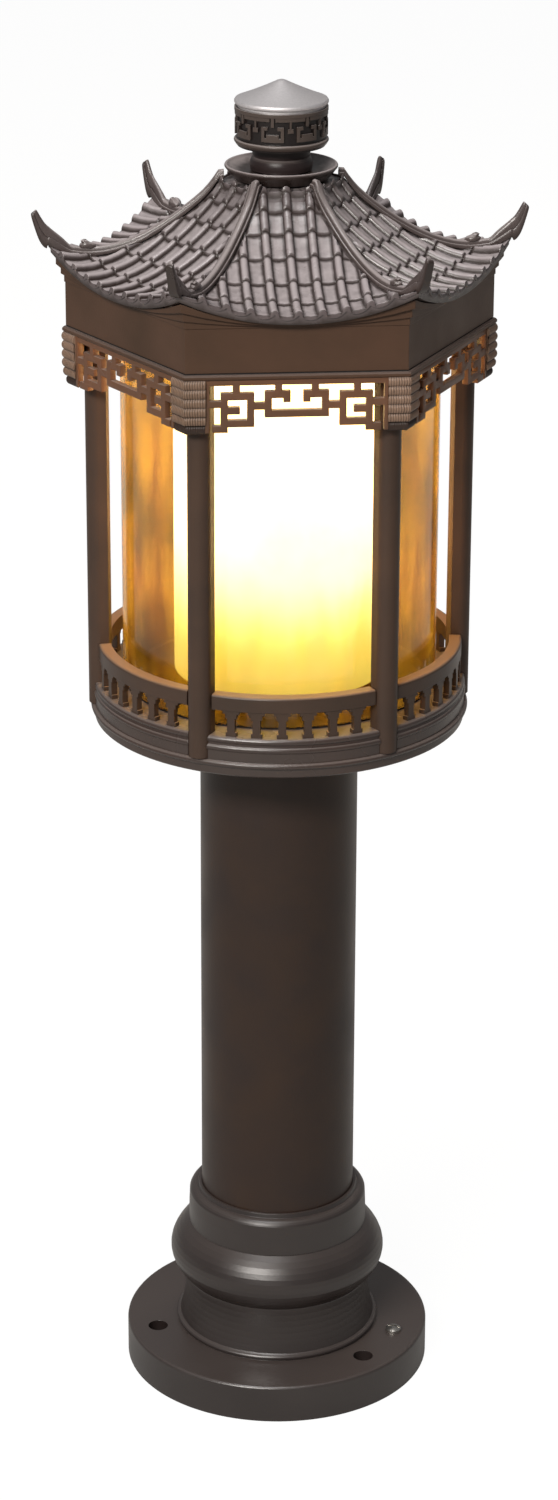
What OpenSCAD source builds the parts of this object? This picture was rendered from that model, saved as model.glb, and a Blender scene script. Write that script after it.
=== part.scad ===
// Pagoda garden lantern on a round column: tiled six-sided roof, fretwork frieze, six posts,
// a glowing inner cylinder inside a clear tube, a round tray with a balustrade, a bolted cast base.
// Millimetres, +Z up. The origin is the centre of the base's underside; a flat side faces -Y.

/* [Base] */
// Width of the bolted flange outside the bell
flange_w = 32; // [30:0.5:39]
// Height of the flange rim
flange_h = 23.5; // [21:0.5:28]
// How far the bell's foot stands outside its waist
foot_out = 4; // [2:0.25:6]
// How far the bell's waist stands outside the collar
waist_out = 2.5; // [1:0.25:3.5]
// Height of the bell from the flange to the torus
bell_h = 33; // [30:0.5:40]
// How far the torus stands outside the collar
torus_out = 11; // [7.5:0.25:14.5]
// Height of the torus
torus_h = 36; // [33:0.5:42]
// Wall of the collar round the column
collar_wall = 8; // [6.5:0.25:9.5]
// Height of the collar, and depth of the column's socket
collar_h = 25; // [22:0.5:32]
// Wall of the base casting
base_wall = 5; // [4:0.25:6]
// Distance of a fixing hole's centre from the rim
bolt_in = 17; // [15:0.25:19]
// Diameter of a fixing hole
bolt_d = 12; // [9:0.5:13]

/* [Column] */
// Outer diameter of the column tube
column_d = 93; // [89:0.5:95]
// Wall of the column tube
column_wall = 3; // [2:0.25:4]
// Length of the column tube
column_l = 337.3; // [200:0.1:700]
// Diameter of the hollow tie rod inside the column
rod_d = 10; // [9:0.5:12]
// Diameter of the supply lead inside the tie rod
lead_d = 5.4; // [4:0.1:6]

/* [Tray] */
// How far a post stands outside the tray's bottom bead
post_proud = 1.1; // [0.4:0.1:2.5]
// Height of the tray from its underside to the ledge
tray_h = 17.5; // [16:0.5:21]
// Depth of the skirt below the tray's bottom bead
skirt_h = 5.5; // [4:0.5:9]
// Depth of the spigot that enters the column
spigot_h = 20; // [12:1:30]
// Height of the balustrade above the ledge
rail_h = 24; // [20:0.5:30]
// Height of the rail itself
rail_t = 8.8; // [7:0.2:10]
// Width of a baluster
baluster_w = 4.4; // [3.4:0.2:5.2]
// Balusters in each of the six bays
balusters = 6; // [4:1:6]

/* [Cage] */
// Width of a post
post_w = 13.6; // [11:0.2:15]
// Depth of a post, from its flat back to its round front
post_t = 11.8; // [10:0.2:13]
// Length of a post
post_l = 223.2; // [160:0.1:300]
// Outer diameter of the clear tube
tube_d = 182.6; // [176:0.5:186]
// Gap between the clear tube and a post
tube_gap = 8.4; // [7:0.2:12]
// Wall of the clear tube
tube_wall = 2.8; // [2:0.1:4]
// Outer diameter of the glowing inner cylinder
glow_d = 122.6; // [110:0.5:130]
// Wall of the glowing inner cylinder
glow_wall = 3; // [2:0.1:4]
// Height of the seat that carries the inner cylinder
seat_h = 12; // [9:0.5:20]
// Gap between the inner cylinder and the crossbar
glow_gap = 7.5; // [5:0.5:15]

/* [Frieze] */
// Distance of the brackets' face behind the posts' outer edge
face_set = 3.8; // [3:0.2:6]
// Thickness of a frieze panel
fret_t = 3; // [2:0.2:4]
// Width of the fretwork's bars
fret_bar = 3.2; // [2.4:0.1:3.6]
// Length of a corner bracket along each side
bracket_l = 12.4; // [11:0.2:14]
// Rolls stacked in a corner bracket
bracket_rolls = 6; // [4:1:8]
// Height of one roll
roll_h = 5.1; // [4:0.1:6]

/* [Roof] */
// Distance of the fascia behind the brackets' face
fascia_set = 2.5; // [1.5:0.1:3.5]
// Wall of the fascia
fascia_wall = 3; // [2.4:0.1:3.4]
// Height of the plain fascia
fascia_h = 25; // [20:0.5:34]
// Overhang of the eave beyond the brackets' face
eave_out = 5.3; // [4.5:0.1:10]
// Height of the eave above the fascia's top
eave_rise = 6.6; // [6:0.2:9]
// Height of the roof's flat top above the eave
roof_rise = 51.4; // [40:0.5:70]
// Distance from the axis to the edge of the roof's flat top
crown_a = 27; // [25:0.5:30]
// Sweep of the roof: 1 is straight, more is hollower
roof_curve = 1.9; // [1.5:0.1:2.2]
// Rise of the eave at the corners
corner_lift = 14.6; // [9:0.2:18]
// Spacing of the rows of tiles
tile_pitch = 12.9; // [12.2:0.1:14]
// Height of a cover tile above the pans
tile_h = 3.4; // [2:0.2:4]
// Thickness of the roof casting
shell_t = 3.6; // [3:0.1:4.4]
// Width of a hip ridge
hip_w = 6.4; // [5:0.2:6.8]
// Height of a hip ridge above the tiles
hip_h = 4.6; // [3.6:0.2:6]

/* [Finial] */
// Diameter of the crown disc
disc_d = 63.6; // [60:0.2:68]
// Height of the crown disc
disc_h = 7.6; // [7:0.1:10]
// Depth of the disc's dish
dish = 3.9; // [2:0.1:5]
// Diameter of the finial's neck
neck_d = 33.4; // [30:0.2:36]
// Height of the finial's neck
neck_h = 13.6; // [12:0.2:22]
// Diameter of the fretwork drum
drum_d = 53; // [48:0.5:58]
// Height of the fretwork drum
drum_h = 21.7; // [18:0.1:28]
// Height of the cap, its groove and rim included
cap_h = 14.7; // [12:0.1:20]
// Diameter of the crown stud
stud_d = 10; // [8:0.5:12]

/* [Hidden] */
$fn = 96;

// clearances
fit = 0.2;       // between pieces of one body that slot together
gap = 0.4;       // between pieces that move past each other
thread_gap = 0.08;
eps = 0.01;
seal_t = 1;

// finishes
bronze = "#3b312d";
bronze_lit = "#5a4a42";
roof_grey = "#6d6262";

// diameters of the base, outwards from the column
collar_d = column_d + 2 * collar_wall;
waist_d = collar_d + 2 * waist_out;
torus_d = collar_d + 2 * torus_out;
foot_d = waist_d + 2 * foot_out;
flange_d = foot_d + 2 * flange_w;
bolt_pcd = flange_d - 2 * bolt_in;

// heights of the base
torus_z = flange_h + bell_h;
collar_z = torus_z + torus_h;
base_h = collar_z + collar_h;
web_t = 7;
web_z = torus_z + 8;
bolt_turn = -50.8;       // where the first fixing hole stands
earth_turn = -22.9;      // where the earth screw stands

// heights of the column and the tray
column_z = collar_z + seal_t;
tray_z = column_z + column_l + seal_t;
floor_t = 4;
ledge_step = 5;
floor_z = tray_z + tray_h - ledge_step;
ledge_z = tray_z + tray_h;
foot_bead = 3.2;
post_foot = foot_bead + 0.3;

// the posts and the ring on top of them
post_z = tray_z + post_foot;
post_out = tube_d / 2 + tube_gap + post_t;
post_r = post_out - post_w / 2;
tray_d = 2 * (post_out - post_proud);
post_screw_d = 4;
post_head = 7;
post_screw_l = 16;
post_screw_r = post_r - 1.3;
ring_z = post_z + post_l;
ring_t = 3;
ring_up = 7;
face_a = post_out - face_set;
fascia_a = face_a - fascia_set;
eave_a = face_a + eave_out;
bead_r = (face_a - 0.6) / cos(30);
bead_c = 0.9;
roof_z0 = ring_z + ring_t;
bar_z = roof_z0 + ring_up;
bar_t = 4;
bar_w = 2 * stud_d;
bar_half = fascia_a - fascia_wall - gap - 1.2;
bar_screw_d = 4;
bar_screw_l = 10;
bar_head = 7.4;
bar_screw_a = (tube_d / 2 + fit + fascia_a - fascia_wall - gap) / 2;
rail_out = post_r + 1.6;
rail_in = rail_out - 7.3;

// tube and inner cylinder
tube_z = ledge_z + seal_t;
tube_top = bar_z - 2.5 - seal_t;
glow_z = floor_z + seat_h;
glow_top = bar_z - glow_gap;
screw_d = 5;

// terminal block under the web
block_x = 22;
block_w = 16;
block_l = 34;
block_h = 16;
block_sink = 4;
block_screw_y = 9;
block_screw_d = 3;
block_screw_head = 5.4;

// the lamp
bridge_h = 34;
bridge_t = 2;
holder_z = floor_z + bridge_h;
bridge_w = 26;
bridge_span = 40;
bridge_foot = 12;
foot_screw_d = 3;
foot_screw_l = 5;
foot_screw_x = bridge_span / 2 + bridge_foot / 2;
holder_h = 60;
holder_d = 40;
holder_foot = 28;
cap_d = 26;
cap_l = 26;
bulb_z = holder_z + 0.55 * holder_h;
bulb_d = 60;
bulb_neck = 32;

// heights of the roof
gasket_t = 0.8;
fascia_z = roof_z0 + gasket_t;
cornice_z = fascia_z + fascia_h;
eave_z = cornice_z + eave_rise;
crown_z = eave_z + roof_rise;
disc_z = crown_z;
washer_z = disc_z + disc_h - dish;
washer_t = 1;
neck_z = washer_z + washer_t;
drum_z = neck_z + neck_h;
cap_z = drum_z + drum_h;
stud_top = neck_z + 0.88 * neck_h;
total_h = cap_z + cap_h;

// an arc of points about (cx, cy), from angle a0 to a1
function arc(cx, cy, r, a0, a1, n) = [for (i = [0:n]) let (a = a0 + (a1 - a0) * i / n)
    [cx + r * cos(a), cy + r * sin(a)]];

// an arc that leaves (x0, y0), bulges by b and ends at (x1, y1), for upright mouldings
function bulge(x0, y0, x1, y1, b, n) = [for (i = [0:n]) let (t = i / n)
    [x0 + (x1 - x0) * t + b * 4 * t * (1 - t), y0 + (y1 - y0) * t]];

module at_corners() for (k = [0:5]) rotate(60 * k) children();
module ring(r_out, r_in, h) difference() {
    cylinder(r = r_out, h = h);
    translate([0, 0, -1]) cylinder(r = r_in, h = h + 2);
}
module hexagon(a) circle(r = a / cos(30), $fn = 6);
module tube_ring(r_out, wall, z, h) translate([0, 0, z]) ring(r_out, r_out - wall, h);

// ---------------------------------------------------------------- base

function base_outline() = concat(
    [[0, 0], [flange_d / 2, 0]],
    arc(flange_d / 2 - 2, flange_h - 2, 2, 0, 90, 4),
    [[foot_d / 2 + 1.4, flange_h]],
    arc(foot_d / 2 - 0.4, flange_h + 1.8, 1.8, -60, 80, 5),
    bulge(foot_d / 2 - 1, flange_h + 4.2, waist_d / 2 + 0.6, torus_z, -1.6, 7),
    bulge(waist_d / 2 + 0.6, torus_z + 0.6, collar_d / 2 - 0.4, collar_z - 0.4,
        (torus_d - waist_d / 2 - collar_d / 2) / 2, 12),
    [[collar_d / 2, collar_z], [collar_d / 2 - 0.2, collar_z + collar_h * 0.46]],
    arc(collar_d / 2 - 5.8, collar_z + collar_h - 8, 5.6, 20, 86, 5),
    [[column_d / 2 + 1.8, base_h], [0, base_h]]);

// inside of the casting below the web, open at the bottom
function base_hollow() = [
    [0, -1], [flange_d / 2 - base_wall, -1], [flange_d / 2 - base_wall, flange_h - base_wall],
    [foot_d / 2 - base_wall, flange_h - base_wall], [waist_d / 2 - base_wall, torus_z - 6],
    [waist_d / 2 - base_wall, web_z], [0, web_z]];

module base_casting() color(bronze) difference() {
    union() {
        difference() {
            rotate_extrude() polygon(base_outline());
            rotate_extrude() polygon(base_hollow());
        }
        for (k = [0:2]) rotate(bolt_turn + 120 * k) {
            translate([bolt_pcd / 2, 0, 0]) cylinder(d = bolt_d + 10, h = flange_h - 1);
            // one rib each side of a fixing hole ties the rim to the bell
            for (s = [-1, 1]) rotate(30 * s) translate([foot_d / 2 - base_wall - 1, -2, 3])
                cube([(flange_d - foot_d) / 2, 4, flange_h - 5]);
        }
        rotate(earth_turn) translate([bolt_pcd / 2, 0, flange_h - 14]) cylinder(d = 12, h = 12);
    }
    // bore above the web, then the socket of the column
    translate([0, 0, web_z + web_t]) cylinder(r = column_d / 2 - column_wall - 1.5, h = base_h);
    translate([0, 0, collar_z]) cylinder(r = column_d / 2 + fit, h = base_h);
    // fixing holes, earth screw, tie rod, terminal screws
    for (k = [0:2]) rotate(bolt_turn + 120 * k) translate([bolt_pcd / 2, 0, -1])
        cylinder(d = bolt_d, h = flange_h + 2);
    rotate(earth_turn) translate([bolt_pcd / 2, 0, flange_h - 10]) cylinder(d = screw_d + 2 * fit, h = 12);
    translate([0, 0, web_z - 1]) cylinder(d = rod_d + 2 * fit, h = web_t + 2);
    for (s = [-1, 1]) translate([block_x, block_screw_y * s, web_z - 1])
        cylinder(d = block_screw_d + 2 * fit, h = web_t - 1);
}

// pan head screw, head up, its seat at z = 0
module pan_screw(d, l, head) {
    translate([0, 0, -l]) cylinder(d = d, h = l);
    difference() {
        intersection() {
            cylinder(d = head, h = 0.36 * head);
            translate([0, 0, -0.42 * head]) sphere(r = 0.78 * head);
        }
        translate([-head / 2, -0.6, 0.24 * head]) cube([head, 1.2, head]);
    }
}

module earth_screw() color("#8d8481") rotate(earth_turn) translate([bolt_pcd / 2, 0, flange_h])
    pan_screw(screw_d, 9, 9.6);

module terminal_block() color("#d8d4c8") translate([block_x, 0, web_z]) difference() {
    translate([-block_w / 2, -block_l / 2, -block_h]) cube([block_w, block_l, block_h]);
    // three wire entries, then the two counterbored screw holes
    for (y = [-12, 0, 12]) translate([0, y, -block_h - 1]) cylinder(d = 6, h = 12);
    for (s = [-1, 1]) translate([0, block_screw_y * s, -block_h - 1]) {
        cylinder(d = block_screw_d + 2 * fit, h = block_h + 2);
        cylinder(d = block_screw_head + 1, h = 1 + block_sink);
    }
}

module terminal_screws() color("silver") for (s = [-1, 1])
    translate([block_x, block_screw_y * s, web_z - block_h + block_sink])
        mirror([0, 0, 1]) pan_screw(block_screw_d, block_h, block_screw_head);

// ---------------------------------------------------------------- column and tie rod

module column_tube() color(bronze) tube_ring(column_d / 2, column_wall, column_z, column_l);

module column_seals() color("#1c1b1a") {
    tube_ring(column_d / 2, column_wall, collar_z, seal_t);
    tube_ring(column_d / 2, column_wall, column_z + column_l, seal_t);
}

rod_low = web_z - 13;
rod_top = floor_z + 13;
washer_h = 2;
nut_h = 8;

module tie_rod() color("#a7a29a")
    tube_ring(rod_d / 2, (rod_d - lead_d) / 2 - 0.5, rod_low, rod_top - rod_low);

module tie_washers() color("#b9b4ac") for (z = [web_z - washer_h, floor_z])
    tube_ring(rod_d + 2, rod_d / 2 + 2 - fit, z, washer_h);

module hex_nut(z) translate([0, 0, z]) difference() {
    cylinder(d = 2 * rod_d - 1, h = nut_h, $fn = 6);
    translate([0, 0, -1]) cylinder(d = rod_d + 2 * thread_gap, h = nut_h + 2);
}

module tie_nuts() color("#b9b4ac") {
    hex_nut(web_z - washer_h - nut_h);
    hex_nut(floor_z + washer_h);
}

// the lead turns out of the block, back up the rod, and ends in the lampholder
lead_bend = block_x / 2;
module lamp_lead() color("#2b2b2b") {
    lead_z = rod_low - 4;
    translate([0, 0, lead_z]) cylinder(d = lead_d, h = holder_z + 3 - lead_z);
    translate([lead_bend, 0, lead_z]) rotate([90, 0, 0]) rotate([0, 0, 180])
        rotate_extrude(angle = 180) translate([lead_bend, 0]) circle(d = lead_d, $fn = 32);
    translate([2 * lead_bend, 0, lead_z]) cylinder(d = lead_d, h = web_z - 5 - lead_z);
}

// ---------------------------------------------------------------- tray and balustrade

// the outline of a post on plan, grown by g
module post_plan(g) {
    translate([post_r, 0]) circle(d = post_w + 2 * g);
    translate([post_out - post_t - g, -post_w / 2 - g]) square([post_t - post_w / 2 + g, post_w + 2 * g]);
}

head_sink = 3;        // depth of the pockets under the skirt for the posts' screws

// half section of the tray: spigot, seat on the column, underside, mouldings, ledge, floor
module tray_section() {
    r = tray_d / 2;
    spigot = column_d / 2 - column_wall - fit;
    under = tray_h - ledge_step - floor_t;
    polygon(concat(
        [[spigot - 5, -spigot_h], [spigot, -spigot_h], [spigot, 0], [column_d / 2 + 3, 0],
         [column_d / 2 + 4, under], [r - 8, under], [r - 8, -skirt_h], [r - 3, -skirt_h],
         [r - 2.2, 0.8 - skirt_h], [r - 2.2, 0]],
        arc(r - foot_bead / 2, foot_bead / 2, foot_bead / 2, -90, 66, 8),
        [[r - 2.2, foot_bead], [r - 2.2, tray_h - 8.4]],
        arc(r - 3.4, tray_h - 6.8, 2, -52, 60, 8),
        arc(r - 3.9, tray_h - 2, 2, -56, 90, 8),
        [[tube_d / 2 - 6, tray_h], [tube_d / 2 - 6, tray_h - ledge_step],
         [rod_d / 2 + fit, tray_h - ledge_step], [rod_d / 2 + fit, under], [spigot - 5, under]]));
}

module tray() color(bronze) translate([0, 0, tray_z]) difference() {
    union() {
        rotate_extrude() tray_section();
        at_corners() translate([post_r - 1, 0, 0]) cylinder(d = post_w - 1, h = post_foot);
        at_corners() translate([post_screw_r - 0.2, 0, 0.6 - skirt_h])
            cylinder(d = post_head + 2.6, h = skirt_h + 0.4);
    }
    at_corners() translate([0, 0, post_foot]) linear_extrude(tray_h) post_plan(fit);
    at_corners() translate([post_screw_r, 0, -skirt_h - 1]) {
        cylinder(d = post_screw_d + 2 * fit, h = skirt_h + post_foot + 2);
        cylinder(d = post_head + 2 * fit, h = head_sink + 1);
    }
    for (s = [-1, 1]) translate([foot_screw_x * s, 0, tray_h - ledge_step - 3.2])
        cylinder(d = foot_screw_d + 2 * fit, h = 5);
}

baluster_turn = 47.4 / balusters;

// one baluster on edge: a foot, a stem and a stepped head under the rail
module baluster_outline() {
    stem = rail_h - rail_t;
    translate([-baluster_w * 0.7, 0]) square([baluster_w * 1.4, 2.4]);
    translate([-baluster_w / 2, 0]) square([baluster_w, stem + eps]);
    translate([-baluster_w * 0.75, stem - 4.6]) square([baluster_w * 1.5, 4.6 + eps]);
    translate([-baluster_w * 1.1, stem - 1.8]) square([baluster_w * 2.2, 1.8 + eps]);
}

module balustrade(k) {
    half_gap = asin((post_w / 2 + gap) / rail_in);
    mid = (rail_in + rail_out) / 2;
    color(bronze_lit) translate([0, 0, ledge_z]) rotate(60 * k) {
        rotate(half_gap) rotate_extrude(angle = 60 - 2 * half_gap) translate([rail_in, rail_h - rail_t])
            difference() {
                square([rail_out - rail_in, rail_t]);
                translate([rail_out - rail_in - 1.6, rail_t - 1.6]) difference() {
                    square(2);
                    circle(r = 1.6, $fn = 32);
                }
            }
        for (i = [0:balusters - 1]) rotate(30 + (i - (balusters - 1) / 2) * baluster_turn)
            translate([mid + 1.4, 0, 0])
            rotate([90, 0, 90]) translate([0, 0, -1.8]) linear_extrude(3.6) baluster_outline();
    }
}

// ---------------------------------------------------------------- posts, tube and inner cylinder

module post(k) color(bronze_lit) rotate(60 * k) translate([0, 0, post_z]) difference() {
    linear_extrude(post_l) post_plan(0);
    for (z = [-1, post_l + 2 - post_screw_l]) translate([post_screw_r, 0, z])
        cylinder(d = post_screw_d + 2 * thread_gap, h = post_screw_l - 1);
}

module post_screws() color("silver") at_corners() {
    translate([post_screw_r, 0, tray_z - skirt_h + head_sink]) mirror([0, 0, 1])
        pan_screw(post_screw_d, post_screw_l, post_head);
    translate([post_screw_r, 0, bar_z - head_sink]) pan_screw(post_screw_d, post_screw_l, post_head);
}

module clear_tube() color([0.85, 0.62, 0.35, 0.35])
    tube_ring(tube_d / 2, tube_wall, tube_z, tube_top - tube_z);

module tube_seals() color("#1c1b1a") {
    tube_ring(tube_d / 2, tube_wall, ledge_z, seal_t);
    tube_ring(tube_d / 2, tube_wall, tube_top, seal_t);
}

module glow_seat() color("#2a2624") translate([0, 0, floor_z]) {
    ring(glow_d / 2 - 0.4, glow_d / 2 - glow_wall - 4, seat_h);
    ring(glow_d / 2 - glow_wall - gap, glow_d / 2 - glow_wall - 4, seat_h + 6);
}

module glow_cylinder() color([1, 0.93, 0.62])
    tube_ring(glow_d / 2, glow_wall, glow_z, glow_top - glow_z);

// ---------------------------------------------------------------- lampholder and bulb

module holder_bridge() color("#b9b4ac") translate([0, 0, floor_z]) difference() {
    union() {
        translate([-bridge_span / 2 - bridge_t, -bridge_w / 2, bridge_h - bridge_t])
            cube([bridge_span + 2 * bridge_t, bridge_w, bridge_t]);
        for (s = [0, 1]) mirror([s, 0, 0]) translate([bridge_span / 2, -bridge_w / 2, 0]) {
            cube([bridge_t, bridge_w, bridge_h]);
            cube([bridge_foot, bridge_w, bridge_t]);
        }
    }
    translate([0, 0, bridge_h - 5]) cylinder(d = lead_d + 2 * gap, h = 10);
    for (s = [-1, 1]) translate([foot_screw_x * s, 0, -1]) cylinder(d = foot_screw_d + 2 * fit, h = 5);
}

module bridge_screws() color("silver") for (s = [-1, 1])
    translate([foot_screw_x * s, 0, floor_z + bridge_t]) pan_screw(foot_screw_d, foot_screw_l, 5.6);

module lampholder() color("#efece4") translate([0, 0, holder_z]) difference() {
    rotate_extrude() polygon([[0, 0], [holder_foot / 2, 0], [holder_foot / 2 + 2, 3],
        [holder_d / 2 - 1, 0.37 * holder_h], [holder_d / 2, 0.4 * holder_h],
        [holder_d / 2, holder_h - 3], [holder_d / 2 - 2, holder_h], [0, holder_h]]);
    translate([0, 0, holder_h / 2]) cylinder(d = cap_d + 2 * gap, h = holder_h);
    translate([0, 0, -1]) cylinder(d = lead_d + 2 * fit, h = 5);
}

// screw cap: shell with rolled thread rings and a contact
module bulb_cap() color("#c9c5bd") translate([0, 0, bulb_z]) rotate_extrude() difference() {
    union() {
        translate([0, 3]) square([cap_d / 2 - 1, cap_l - 3]);
        for (i = [0:4]) translate([cap_d / 2 - 1.4, 6 + 3.6 * i]) circle(r = 1.4, $fn = 24);
        square([5, 4]);
    }
    translate([-10, -5]) square([10, cap_l + 10]);
}

module bulb_glass() color([1, 0.97, 0.9]) translate([0, 0, bulb_z + cap_l]) rotate_extrude() polygon(concat(
    [[0, 0], [cap_d / 2 - 0.6, 0], [cap_d / 2 + 0.6, 0.2 * bulb_neck], [cap_d / 2 + 3, bulb_neck / 2],
     [0.39 * bulb_d, bulb_neck]],
    arc(0, bulb_neck + 0.32 * bulb_d, bulb_d / 2, -20, 89, 14), [[0, bulb_neck + 0.82 * bulb_d]]));

// ---------------------------------------------------------------- ring, frieze and brackets

// the ring's edge is a bead: a flat with a chamfer above and below
module top_ring() color(bronze) translate([0, 0, ring_z]) difference() {
    union() {
        cylinder(r1 = bead_r - bead_c, r2 = bead_r, h = bead_c, $fn = 6);
        translate([0, 0, bead_c]) cylinder(r = bead_r, h = ring_t - 2 * bead_c, $fn = 6);
        translate([0, 0, ring_t - bead_c]) cylinder(r1 = bead_r, r2 = bead_r - bead_c, h = bead_c, $fn = 6);
        linear_extrude(ring_t + ring_up) hexagon(fascia_a - fascia_wall - gap);
    }
    translate([0, 0, -1]) cylinder(r = tube_d / 2 + fit, h = 1 + tube_top + seal_t - ring_z);
    cylinder(r = tube_d / 2 - tube_wall - 2, h = 20);
    at_corners() translate([post_screw_r, 0, -1]) cylinder(d = post_screw_d + 2 * fit, h = 20);
    at_corners() translate([post_screw_r, 0, ring_t + ring_up - head_sink])
        cylinder(d = post_head + 2 * fit, h = 20);
    for (s = [-1, 1]) translate([0, s * bar_screw_a, ring_t + ring_up - bar_screw_l + bar_t - 1])
        cylinder(d = bar_screw_d + 2 * thread_gap, h = 20);
}

// the fretwork is drawn on a field of this half width and height, and stretched to its panel
drawn_half = 49.6;
fret_set = 2.2;       // the panels' distance behind the brackets' face
drawn_drop = 30.6;
frieze_half = face_a * tan(30) - bracket_l - fit;
drop = bracket_rolls * roll_h;

// a bar of the fretwork between two points, u across and v down from the ring
module bar(p, q) {
    low = [min(p[0], q[0]) * frieze_half / drawn_half, max(p[1], q[1]) * drop / drawn_drop];
    size = [abs(p[0] - q[0]) * frieze_half / drawn_half, abs(p[1] - q[1]) * drop / drawn_drop];
    translate([low[0] - fret_bar / 2, -low[1] - fret_bar / 2]) square([size[0] + fret_bar, size[1] + fret_bar]);
}

// joins the listed points in turn
module fret(points) for (i = [0:len(points) - 2]) bar(points[i], points[i + 1]);

module frieze_outline() {
    half = drawn_half;
    intersection() {
        union() for (s = [0, 1]) mirror([s, 0]) {
            fret([[0, 1.2], [half, 1.2]]);                                     // top rail
            fret([[-10, 1.2], [-10, 8.6], [-5.4, 8.6], [-5.4, 11]]);           // hanger and inward hook
            fret([[-10, 8.6], [-15.6, 8.6], [-15.6, 19.4], [0, 19.4]]);        // open box
            fret([[-15.6, 15], [-25.2, 15]]);                                  // link to the side key
            fret([[-33, 1.2], [-33, 9.4]]);                                    // hanger of the side key
            fret([[-25.2, 9.4], [-25.2, 24.6], [-38.6, 24.6]]);                // side key
            fret([[-25.2, 9.4], [-39.6, 9.4], [-39.6, 17.4], [-33, 17.4]]);    // its inward hook
            fret([[-39.6, 17.4], [-39.6, 27.6], [-44, 27.6]]);                 // stair down to the bracket
            fret([[-half, 1.2], [-half, drawn_drop - 3]]);                     // stile against the bracket
            fret([[-39.6, 13.6], [-half, 13.6]]);
        }
        translate([-frieze_half, -drop + 1]) square([2 * frieze_half, drop - 1]);
    }
}

module frieze(k) color(bronze_lit) rotate(60 * k + 30) translate([face_a - fret_set, 0, ring_z])
    rotate([90, 0, 90]) translate([0, 0, -fret_t]) linear_extrude(fret_t) frieze_outline();

// stacked rolls, seen from the side: x outwards, y up; each bulges past the notches beside it
bracket_t = 5.6;
roll_bulge = 1.1;
roll_r = roll_h * roll_h / 8 / roll_bulge + roll_bulge / 2;
module roll_stack() intersection() {
    translate([-bracket_t, -drop]) square([bracket_t + 1, drop]);
    union() {
        translate([-bracket_t, -drop + roll_h]) square([bracket_t - roll_bulge - 0.3, drop - roll_h]);
        translate([-bracket_t, -drop + 0.4 * roll_h]) square([bracket_t - roll_bulge - 2, roll_h]);
        for (i = [0:bracket_rolls - 1]) {
            inset = i == bracket_rolls - 1 ? 2 : i == bracket_rolls - 2 ? 0.5 : 0;
            translate([-roll_r - inset, -roll_h * (i + 0.5)]) circle(r = roll_r, $fn = 64);
        }
    }
}

// a bracket's plan is mitred at the corner and square at the end of each leg
module bracket(k) color(bronze_lit) rotate(60 * k) translate([0, 0, ring_z])
    for (s = [0, 1]) mirror([0, s, 0]) {
    corner = face_a / cos(30);
    end = [corner - bracket_l / 2, bracket_l * cos(30)];
    square_out = [cos(30), sin(30)];
    intersection() {
        translate([0, 0, -60]) linear_extrude(60)
            polygon([[corner - 30, 0], [corner + 30, 0], end + 20 * square_out, end - 12 * square_out]);
        rotate(30) translate([face_a, 0, 0]) rotate([90, 0, 0])
            linear_extrude(2 * face_a * tan(30), center = true) roll_stack();
    }
}

module crossbar() color("#a7a29a") translate([0, 0, bar_z]) difference() {
    translate([-bar_w / 2, -bar_half, 0]) cube([bar_w, 2 * bar_half, bar_t]);
    for (s = [-1, 1]) translate([0, s * bar_screw_a, -1])
        cylinder(d = bar_screw_d + 2 * fit, h = bar_t + 2);
    translate([0, 0, -1]) cylinder(d = stud_d + 2 * thread_gap, h = bar_t + 2);
}

module crossbar_screws() color("silver") for (s = [-1, 1]) translate([0, s * bar_screw_a, bar_z + bar_t])
    pan_screw(bar_screw_d, bar_screw_l, bar_head);

module crown_stud() color("#a7a29a") {
    translate([0, 0, bar_z - 5]) cylinder(d = stud_d, h = stud_top - bar_z + 4);
    translate([0, 0, stud_top - 1]) cylinder(d1 = stud_d, d2 = stud_d - 2, h = 1);
    for (z = [bar_z - 4, bar_z + bar_t]) translate([0, 0, z]) cylinder(d = 1.85 * stud_d, h = 4, $fn = 6);
}

// ---------------------------------------------------------------- roof

module roof_gasket() color("#1c1b1a") translate([0, 0, roof_z0]) linear_extrude(gasket_t) difference() {
    hexagon(fascia_a - 0.3);
    hexagon(fascia_a - fascia_wall);
}

module fascia_box() color(bronze) translate([0, 0, fascia_z]) linear_extrude(fascia_h) difference() {
    hexagon(fascia_a);
    hexagon(fascia_a - fascia_wall);
}

lift_power = 2.1;     // how late the eave turns up along a side
lift_from = 2.4;      // how late it turns up down the slope
tan30 = tan(30);
horn_r = eave_a / cos(30);

// height of the roof's surface at a mm from the axis towards the eave and u mm along the side
function roof_h(a, u) = let (t = (a - crown_a) / (eave_a - crown_a))
    eave_z + roof_rise * pow(max(0, 1 - t), roof_curve)
    + corner_lift * pow(abs(u) / (eave_a * tan30), lift_power) * pow(max(0, t), lift_from);

hip_margin = hip_w / 2 / cos(30) + 0.5;

// half of a side's columns: [offset, 1 on the crown of a cover tile]
tile_half = 4.7;
rows_half = floor((eave_a * tan30 - hip_margin) / tile_pitch);
side_cols = [for (i = [-rows_half:rows_half]) each [
    [i * tile_pitch - tile_half, 0], [i * tile_pitch - 0.6 * tile_half, 0.72], [i * tile_pitch, 1],
    [i * tile_pitch + 0.6 * tile_half, 0.72], [i * tile_pitch + tile_half, 0]]];
n_cols = len(side_cols) + 3;      // the tile points, both margins, and one hip

// lines between courses, from the top down, as distances from the axis; the last is the eave
courses = [crown_a, for (f = [0.13, 0.245, 0.39, 0.57, 0.78, 1]) crown_a + f * (eave_a - crown_a)];
tile_step = 1.1;

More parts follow.
